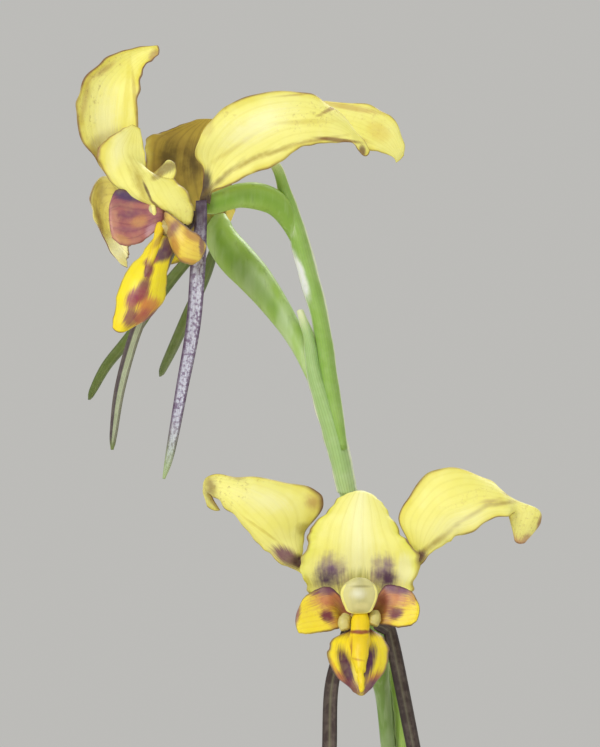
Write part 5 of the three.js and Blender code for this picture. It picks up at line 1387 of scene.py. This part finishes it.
def leafRows(azimuth, reach, height, half):
    turn, rows, start = math.radians(azimuth), [], leaves["start"]
    spine = [(start + r * (reach - start), leaves["base"] + z * height) for r, z, _ in leaves["course"]]
    for k, (r, z) in enumerate(spine):
        before, after = spine[max(0, k - 1)], spine[min(len(spine) - 1, k + 1)]
        run = math.hypot(after[0] - before[0], after[1] - before[1])
        width = leaves["course"][k][2]
        lift = leaves["channel"] * width
        out, up = r + (before[1] - after[1]) / run * lift, z + (after[0] - before[0]) / run * lift
        rows.append([
            [far * math.cos(turn) - side * math.sin(turn), far * math.sin(turn) + side * math.cos(turn),
             level]
            for far, side, level in ((out, -width * half, up), (r, 0, z), (out, width * half, up))
        ])
    return rows


def addBractsAndLeaves():
    papery = finish("bract_paper", bracts["finish"])
    ownPaper = {
        "low_bract": finish("bract_low_paper", bracts["finish"] | bracts["lowFinish"]),
        "top_bract": finish("bract_top_paper", bracts["finish"] | bracts["topFinish"]),
    }
    blades = {
        "stem_sheath": sheathRows(), "low_bract": bracts["low"],
        "middle_bract": bractRows(bracts["middle"]), "top_bract": bractRows(bracts["top"]),
    }
    for k, (node, rows) in enumerate(blades.items()):
        blade = bladeShell(rows, bracts["shape"], k)
        addPiece(f"{node}_skin", [(blade, ownPaper.get(node, papery))], node)
    green = finish("leaf_green", leaves["finish"])
    for k, leaf in enumerate(leaves["each"]):
        blade = bladeShell(leafRows(*leaf), leaves["shape"], k)
        addPiece(f"leaf_{k + 1}_skin", [(blade, green)], f"leaf_{k + 1}")
    print("bracts and leaves made")


# Pot and soil, in mm
pot = {
    "profile": [  # radius and height, with how far each corner is rounded
        (7, 0, 0.5), (40, 0, 1.6), (54.5, 78, 0.6), (58, 78, 1.1), (60, 100, 1.8), (54, 100, 1.8),
        (35.5, 6, 3),
        (7, 6, 0.5),
    ],
    "tall": 100, "hole": 7, "holeRun": 20,  # the hole stays round, and the wobble grows over the run
    "turns": 144, "bends": 6, "gap": 6,     # faces round, points in a rounded corner, about a face's length
    "wobble": 0.12, "swing": 0.7, "ripple": 0.05, "ripples": 1.9,
}
clay = {
    "roughness": 0.85, "relief": 0.16,
    "body": "b9673f", "drip": 0.06,  # metres that the salt at the foot creeps up
    "grains": {  # stretch, scale, detail and roughness
        "rings": ((0.12, 0.12, 3), 130, 4, 0.55), "fine": ((1, 1, 1), 1100, 4, 0.7),
        "broad": ((1, 1, 1), 28, 4, 0.55), "drips": ((1, 1, 0.25), 60, 5, 0.65),
    },
    "coats": [  # a grain and the levels between which it comes up, to what depth, and its colour
        ("broad", (0.3, 0.7), 1, "a9552f"), ("rings", (0.4, 0.65), 0.35, "c77a52"),
        ("fine", (0.62, 0.75), 0.5, "8a4427"),
    ],
    "bands": [  # the same, with the heights in metres between which it comes up
        ("drips", (0.42, 0.62), 0.55, "e0c9b4", (0.075, 0.03)),  # salt at the foot
        ("drips", (0.45, 0.6), 0.6, "dcc4ae", (0.088, 0.1)),     # salt on the rim
        ("broad", (0.5, 0.62), 0.5, "6f6a3c", (0.022, 0.0)),     # algae
    ],
}
soil = {
    "top": 87, "foot": 6.3, "floor": 6, "wall": 35.2, "lean": (54 - 35.5) / 94, "clear": 0.1,
    "bump": 1.1, "levelTo": 7, "levelRun": 10, "grit": 0.35, "drop": 0.4,
    "rings": 70, "turns": 160, "shades": ("33241a", "4a3626", "241810"), "fineness": 900,
    "scatter": (2.6, 49.5),  # the radii between which crumbs lie
    "seed": 11,
}
earth = {
    "roughness": 0.95, "relief": 0.25, "detail": 5, "rough": 0.7, "patches": 9,
    "broad": (0.35, 0.65), "fine": (0.55, 0.75, 0.8),  # noise levels and the depth of the last shade
}
crumbs = {
    "soil_crumbs": {
        "count": 5200, "size": 0.9, "flat": 0.7, "long": 1.1, "lift": -0.2,
        "shades": ("3f2d20", "5a4330", "2a1c13"), "fineness": 1500,
    },
    "bark_chips": {
        "count": 520, "size": 1.5, "flat": 0.32, "long": 1.9, "lift": 0.1,
        "shades": ("6a4426", "8a6238", "3f2816"), "fineness": 700,
    },
    "grit_bits": {
        "count": 260, "size": 0.95, "flat": 0.8, "long": 1.0, "lift": 0.1,
        "shades": ("d8d2c4", "efece2", "b5ad9c"), "fineness": 1500,
    },
}
crumbShape = {
    "facets": 1, "lumps": 0.9, "lumpy": 0.8,      # subdivisions, noise scale, share of the radius
    "tilt": 0.7, "spin": 6.28, "sizes": (0.45, 1.25),  # radians, radians, shares of the size
}


def roundedProfile():
    corners = [np.array(corner[:2], float) for corner in pot["profile"]]
    course = []
    for k, corner in enumerate(corners):
        before, after = corners[k - 1], corners[(k + 1) % len(corners)]
        size = pot["profile"][k][2]
        start = corner + unit(before - corner) * size
        stop = corner + unit(after - corner) * size
        for t in np.linspace(0, 1, pot["bends"]):
            course.append((1 - t) ** 2 * start + 2 * t * (1 - t) * corner + t * t * stop)
        gaps = max(1, int(np.linalg.norm(after - corner) / pot["gap"]))
        following = after + unit(corner - after) * pot["profile"][(k + 1) % len(corners)][2]
        for t in np.arange(1, gaps) / gaps:
            course.append(stop + (following - stop) * t)
    return np.array(course)


def addPot():
    # turned on a wheel: never past the profile, a little inside it where the hand wobbled
    course, turns = roundedProfile(), pot["turns"]
    far, high = course[:, :1], course[:, 1:]
    angle = np.arange(turns) / turns * 2 * math.pi
    wobble = pot["wobble"] * (np.sin(2 * angle + pot["swing"])[None] * (high / pot["tall"]) - 1)
    wobble = wobble + pot["ripple"] * np.sin(high * pot["ripples"] + angle[None])
    inner = np.minimum(1, (far - pot["hole"]) / pot["holeRun"])
    radius = far + np.minimum(0, wobble * inner)
    points = np.stack([radius * np.cos(angle), radius * np.sin(angle), np.repeat(high, turns, 1)], -1)
    points = points.reshape(-1, 3)
    at = np.arange(len(course) * turns).reshape(len(course), turns)
    faces = outward(points, ringFaces(np.vstack([at, at[:1]])))
    spread = skinMap(np.linspace(0, 1, len(course)), angle / (2 * math.pi))
    addPiece("pot_clay", [((points, faces, spread), clayFinish())], "pot")
    print("pot turned:", len(faces), "faces")


def clayFinish():
    material, tree, shader = newFinish("clay", clay["roughness"])
    height = heights(tree)
    grain = {}
    for name, (stretch, *settings) in clay["grains"].items():
        grain[name] = noise(tree, stretched(tree, places(tree), stretch), *settings)
    coats = [(ease(tree, grain[name], *span, depth), shade) for name, span, depth, shade in clay["coats"]]
    level = calc(tree, "MULTIPLY_ADD", grain["drips"], clay["drip"], height)
    for name, span, depth, shade, band in clay["bands"]:
        where = ease(tree, level, *band, depth)
        coats.append((calc(tree, "MULTIPLY", where, ease(tree, grain[name], *span)), shade))
        level = height  # only the first band drips
    feed(tree, shader.inputs["Base Color"], coated(tree, tint(clay["body"]), coats))
    bumped(tree, shader, calc(tree, "MULTIPLY_ADD", grain["rings"], 1.6, grain["fine"]), clay["relief"])
    return material


def soilLevel(x, y):
    # gentle humps, level round the stem, and a fine grit
    away = np.clip((np.hypot(x, y) - soil["levelTo"]) / soil["levelRun"], 0, 1)
    bump = np.sin(0.21 * x + 1.3) * np.cos(0.19 * y) + 0.5 * np.sin(0.47 * x + 0.39 * y + 2)
    grit = np.sin(1.7 * x + 0.6) * np.sin(1.9 * y + 2.1) + np.sin(3.3 * x - 2.2 * y) * 0.6
    return soil["top"] + soil["bump"] * bump * away + soil["grit"] * grit * 0.5 - soil["drop"]


def soilGrid():
    reach = soil["wall"] + soil["lean"] * (soil["top"] - soil["floor"])
    inner = soil["wall"] + soil["lean"] * (soil["foot"] - soil["floor"])
    radii = np.linspace(0.0, reach - soil["clear"], soil["rings"])
    angle = np.arange(soil["turns"]) / soil["turns"] * 2 * math.pi
    x, y = radii[:, None] * np.cos(angle), radii[:, None] * np.sin(angle)
    wall = np.stack([inner * np.cos(angle), inner * np.sin(angle), np.full_like(angle, soil["foot"])], -1)
    return np.stack([x, y, soilLevel(x, y)], -1), wall


def earthFinish(name, shades, fineness):
    material, tree, shader = newFinish(name, earth["roughness"])
    fine = noise(tree, places(tree), fineness, earth["detail"], earth["rough"])
    broad = noise(tree, places(tree), fineness / earth["patches"])
    coats = [(ease(tree, broad, *earth["broad"]), shades[1]), (ease(tree, fine, *earth["fine"]), shades[2])]
    feed(tree, shader.inputs["Base Color"], coated(tree, tint(shades[0]), coats))
    bumped(tree, shader, fine, earth["relief"])
    return material


def crumbTree():
    tree, given = newTree("scattered crumbs", [
        ("Density", "Float", 1000.0), ("Seed", "Int", 1), ("Size", "Float", 0.001),
        ("Flatness", "Float", 0.6),
        ("Length", "Float", 1.0), ("Lift", "Float", 0.0),
    ])
    scatter = step(tree, "GeometryNodeDistributePointsOnFaces", Mesh=given["Geometry"],
                   Density=given["Density"], Seed=given["Seed"])
    lump = step(tree, "GeometryNodeMeshIcoSphere", Radius=1.0, Subdivisions=crumbShape["facets"]).outputs[0]
    wobble = step(tree, "ShaderNodeTexNoise", Scale=crumbShape["lumps"], Detail=1.0).outputs["Fac"]
    lumpy = crumbShape["lumpy"]
    offset = alongNormal(tree, calc(tree, "MULTIPLY_ADD", wobble, 2 * lumpy, -lumpy))
    lump = step(tree, "GeometryNodeSetPosition", Geometry=lump, Offset=offset).outputs[0]
    lump = step(tree, "GeometryNodeSetShadeSmooth", Geometry=lump).outputs[0]
    turn = step(tree, "FunctionNodeRandomValue", {"data_type": "FLOAT_VECTOR"}, Seed=given["Seed"])
    tilt = crumbShape["tilt"]
    turn.inputs["Min"].default_value = (-tilt, -tilt, 0)
    turn.inputs["Max"].default_value = (tilt, tilt, crumbShape["spin"])
    size = step(tree, "FunctionNodeRandomValue", {"data_type": "FLOAT"}, Seed=given["Seed"])
    limits = [s for s in size.inputs if s.type == "VALUE" and s.name in ("Min", "Max") and s.enabled]
    for socket, value in zip(limits, crumbShape["sizes"]):
        socket.default_value = value
    amount = next(s for s in size.outputs if s.type == "VALUE" and s.enabled)
    measure = calc(tree, "MULTIPLY", amount, given["Size"])
    shape = step(tree, "ShaderNodeCombineXYZ", X=calc(tree, "MULTIPLY", measure, given["Length"]), Y=measure,
                 Z=calc(tree, "MULTIPLY", measure, given["Flatness"]))
    placed = step(tree, "GeometryNodeInstanceOnPoints", Points=scatter.outputs["Points"], Instance=lump,
                  Rotation=next(s for s in turn.outputs if s.enabled), Scale=shape.outputs[0])
    lift = step(tree, "ShaderNodeCombineXYZ", Z=given["Lift"])
    lifted = step(tree, "GeometryNodeTranslateInstances", Instances=placed.outputs[0],
                  Translation=lift.outputs[0], Local_Space=False)
    return closed(tree, lifted.outputs[0], given)


def addSoilBed(top, wall):
    rings, turns = top.shape[:2]
    points = np.concatenate([top.reshape(-1, 3), wall, [[0, 0, soil["foot"]]]])
    courses = np.arange((rings + 1) * turns).reshape(rings + 1, turns)
    edge, last = courses[-1].tolist(), len(points) - 1
    foot = [(edge[k], edge[(k + 1) % turns], last) for k in range(turns)]
    mesh = bpy.data.meshes.new("soil_bed")
    mesh.from_pydata((points * mm).tolist(), [], ringFaces(courses).tolist() + foot)
    mesh.materials.append(earthFinish("soil_dark", soil["shades"], soil["fineness"]))
    bed = linked("soil_bed", mesh)
    mended(bed)
    settle(bed, "potting_mix")


def addCrumbs(top):
    rings, turns = top.shape[:2]
    near, far = soil["scatter"]
    away = np.hypot(top[..., 0], top[..., 1]).reshape(-1)
    ring = (away > near) & (away < far)
    faces = ringFaces(np.arange(rings * turns).reshape(rings, turns))
    used = faces[ring[faces].all(1)].tolist()
    tree, area = crumbTree(), math.pi * (far * mm) ** 2
    for k, (name, kind) in enumerate(crumbs.items()):
        patch = bpy.data.meshes.new(name)
        patch.from_pydata((top.reshape(-1, 3) * mm).tolist(), [], used)
        patch.flip_normals()
        holder = grown(linked(name, patch), tree, {
            "Density": kind["count"] / area, "Seed": soil["seed"] + k, "Size": kind["size"] * mm,
            "Flatness": kind["flat"], "Length": kind["long"], "Lift": kind["lift"] * mm,
            "Finish": earthFinish(f"{name}_finish", kind["shades"], kind["fineness"]),
        })
        settle(holder, None)
        print(name, len(holder.data.polygons), "faces")


def mended(piece):
    # merges the doubled corners of the bed's middle and turns its faces outwards
    work = bmesh.new()
    work.from_mesh(piece.data)
    bmesh.ops.remove_doubles(work, verts=work.verts, dist=1e-6)
    bmesh.ops.recalc_face_normals(work, faces=work.faces)
    work.to_mesh(piece.data)
    work.free()
    piece.data.shade_smooth()


# Floor, studio light and the room's pale air
studio = {
    "floor": "e6e4de", "floorRough": 0.8, "floorRadius": 3.2, "floorCorners": 96,
    "air": "e9e8e4", "airStrength": 0.62,
    "aim": (-0.0145, 0, 0.24),
    "lamps": [  # place in metres, size, power in watts
        ((-0.6, -0.8, 0.8), 0.5, 7), ((0.8, -0.7, 0.4), 0.8, 1.5), ((0.3, 0.6, 0.9), 0.5, 5),
    ],
}


def addFloor():
    count, reach = studio["floorCorners"], studio["floorRadius"]
    angles = [2 * math.pi * k / count for k in range(count)]
    corners = [(reach * math.cos(angle), reach * math.sin(angle), 0) for angle in angles]
    mesh = bpy.data.meshes.new("studio_floor")
    mesh.from_pydata(corners, [], [list(range(count))])
    material, _, shader = newFinish("studio_floor", studio["floorRough"])
    shader.inputs["Base Color"].default_value = tint(studio["floor"])
    mesh.materials.append(material)
    floor = linked("studio_floor", mesh)


def addLight():
    world = bpy.data.worlds.new("studio_air")
    world.use_nodes = True
    background = next(n for n in world.node_tree.nodes if n.type == "BACKGROUND")
    background.inputs["Color"].default_value = tint(studio["air"])
    background.inputs["Strength"].default_value = studio["airStrength"]
    bpy.context.scene.world = world
    aim = Vector(studio["aim"])
    for k, (place, size, power) in enumerate(studio["lamps"]):
        lamp = bpy.data.lights.new(f"soft_lamp_{k + 1}", "AREA")
        lamp.size = size
        lamp.energy = power
        holder = linked(lamp.name, lamp)
        holder.location = place
        holder.rotation_euler = (aim - Vector(place)).to_track_quat("-Z", "Y").to_euler()
    bpy.context.scene.view_settings.view_transform = "Standard"


# The back flower hides its lip and column, so they are the low flower's, turned
backFlower["lip"] = {
    part: [turned(path, backTurn) for path in rows] if part == "ridges" else turned(rows, backTurn)
    for part, rows in lowFlower["lip"].items()
}
backFlower["column"] = {part: turned(rows, backTurn) for part, rows in lowFlower["column"].items()}

addCamera()
addFloor()
addLight()
addPot()
top, wall = soilGrid()
addSoilBed(top, wall)
addCrumbs(top)
addStem()
addBractsAndLeaves()
addFlower(lowFlower, "low")
addFlower(topFlower, "top")
addFlower(backFlower, "low")
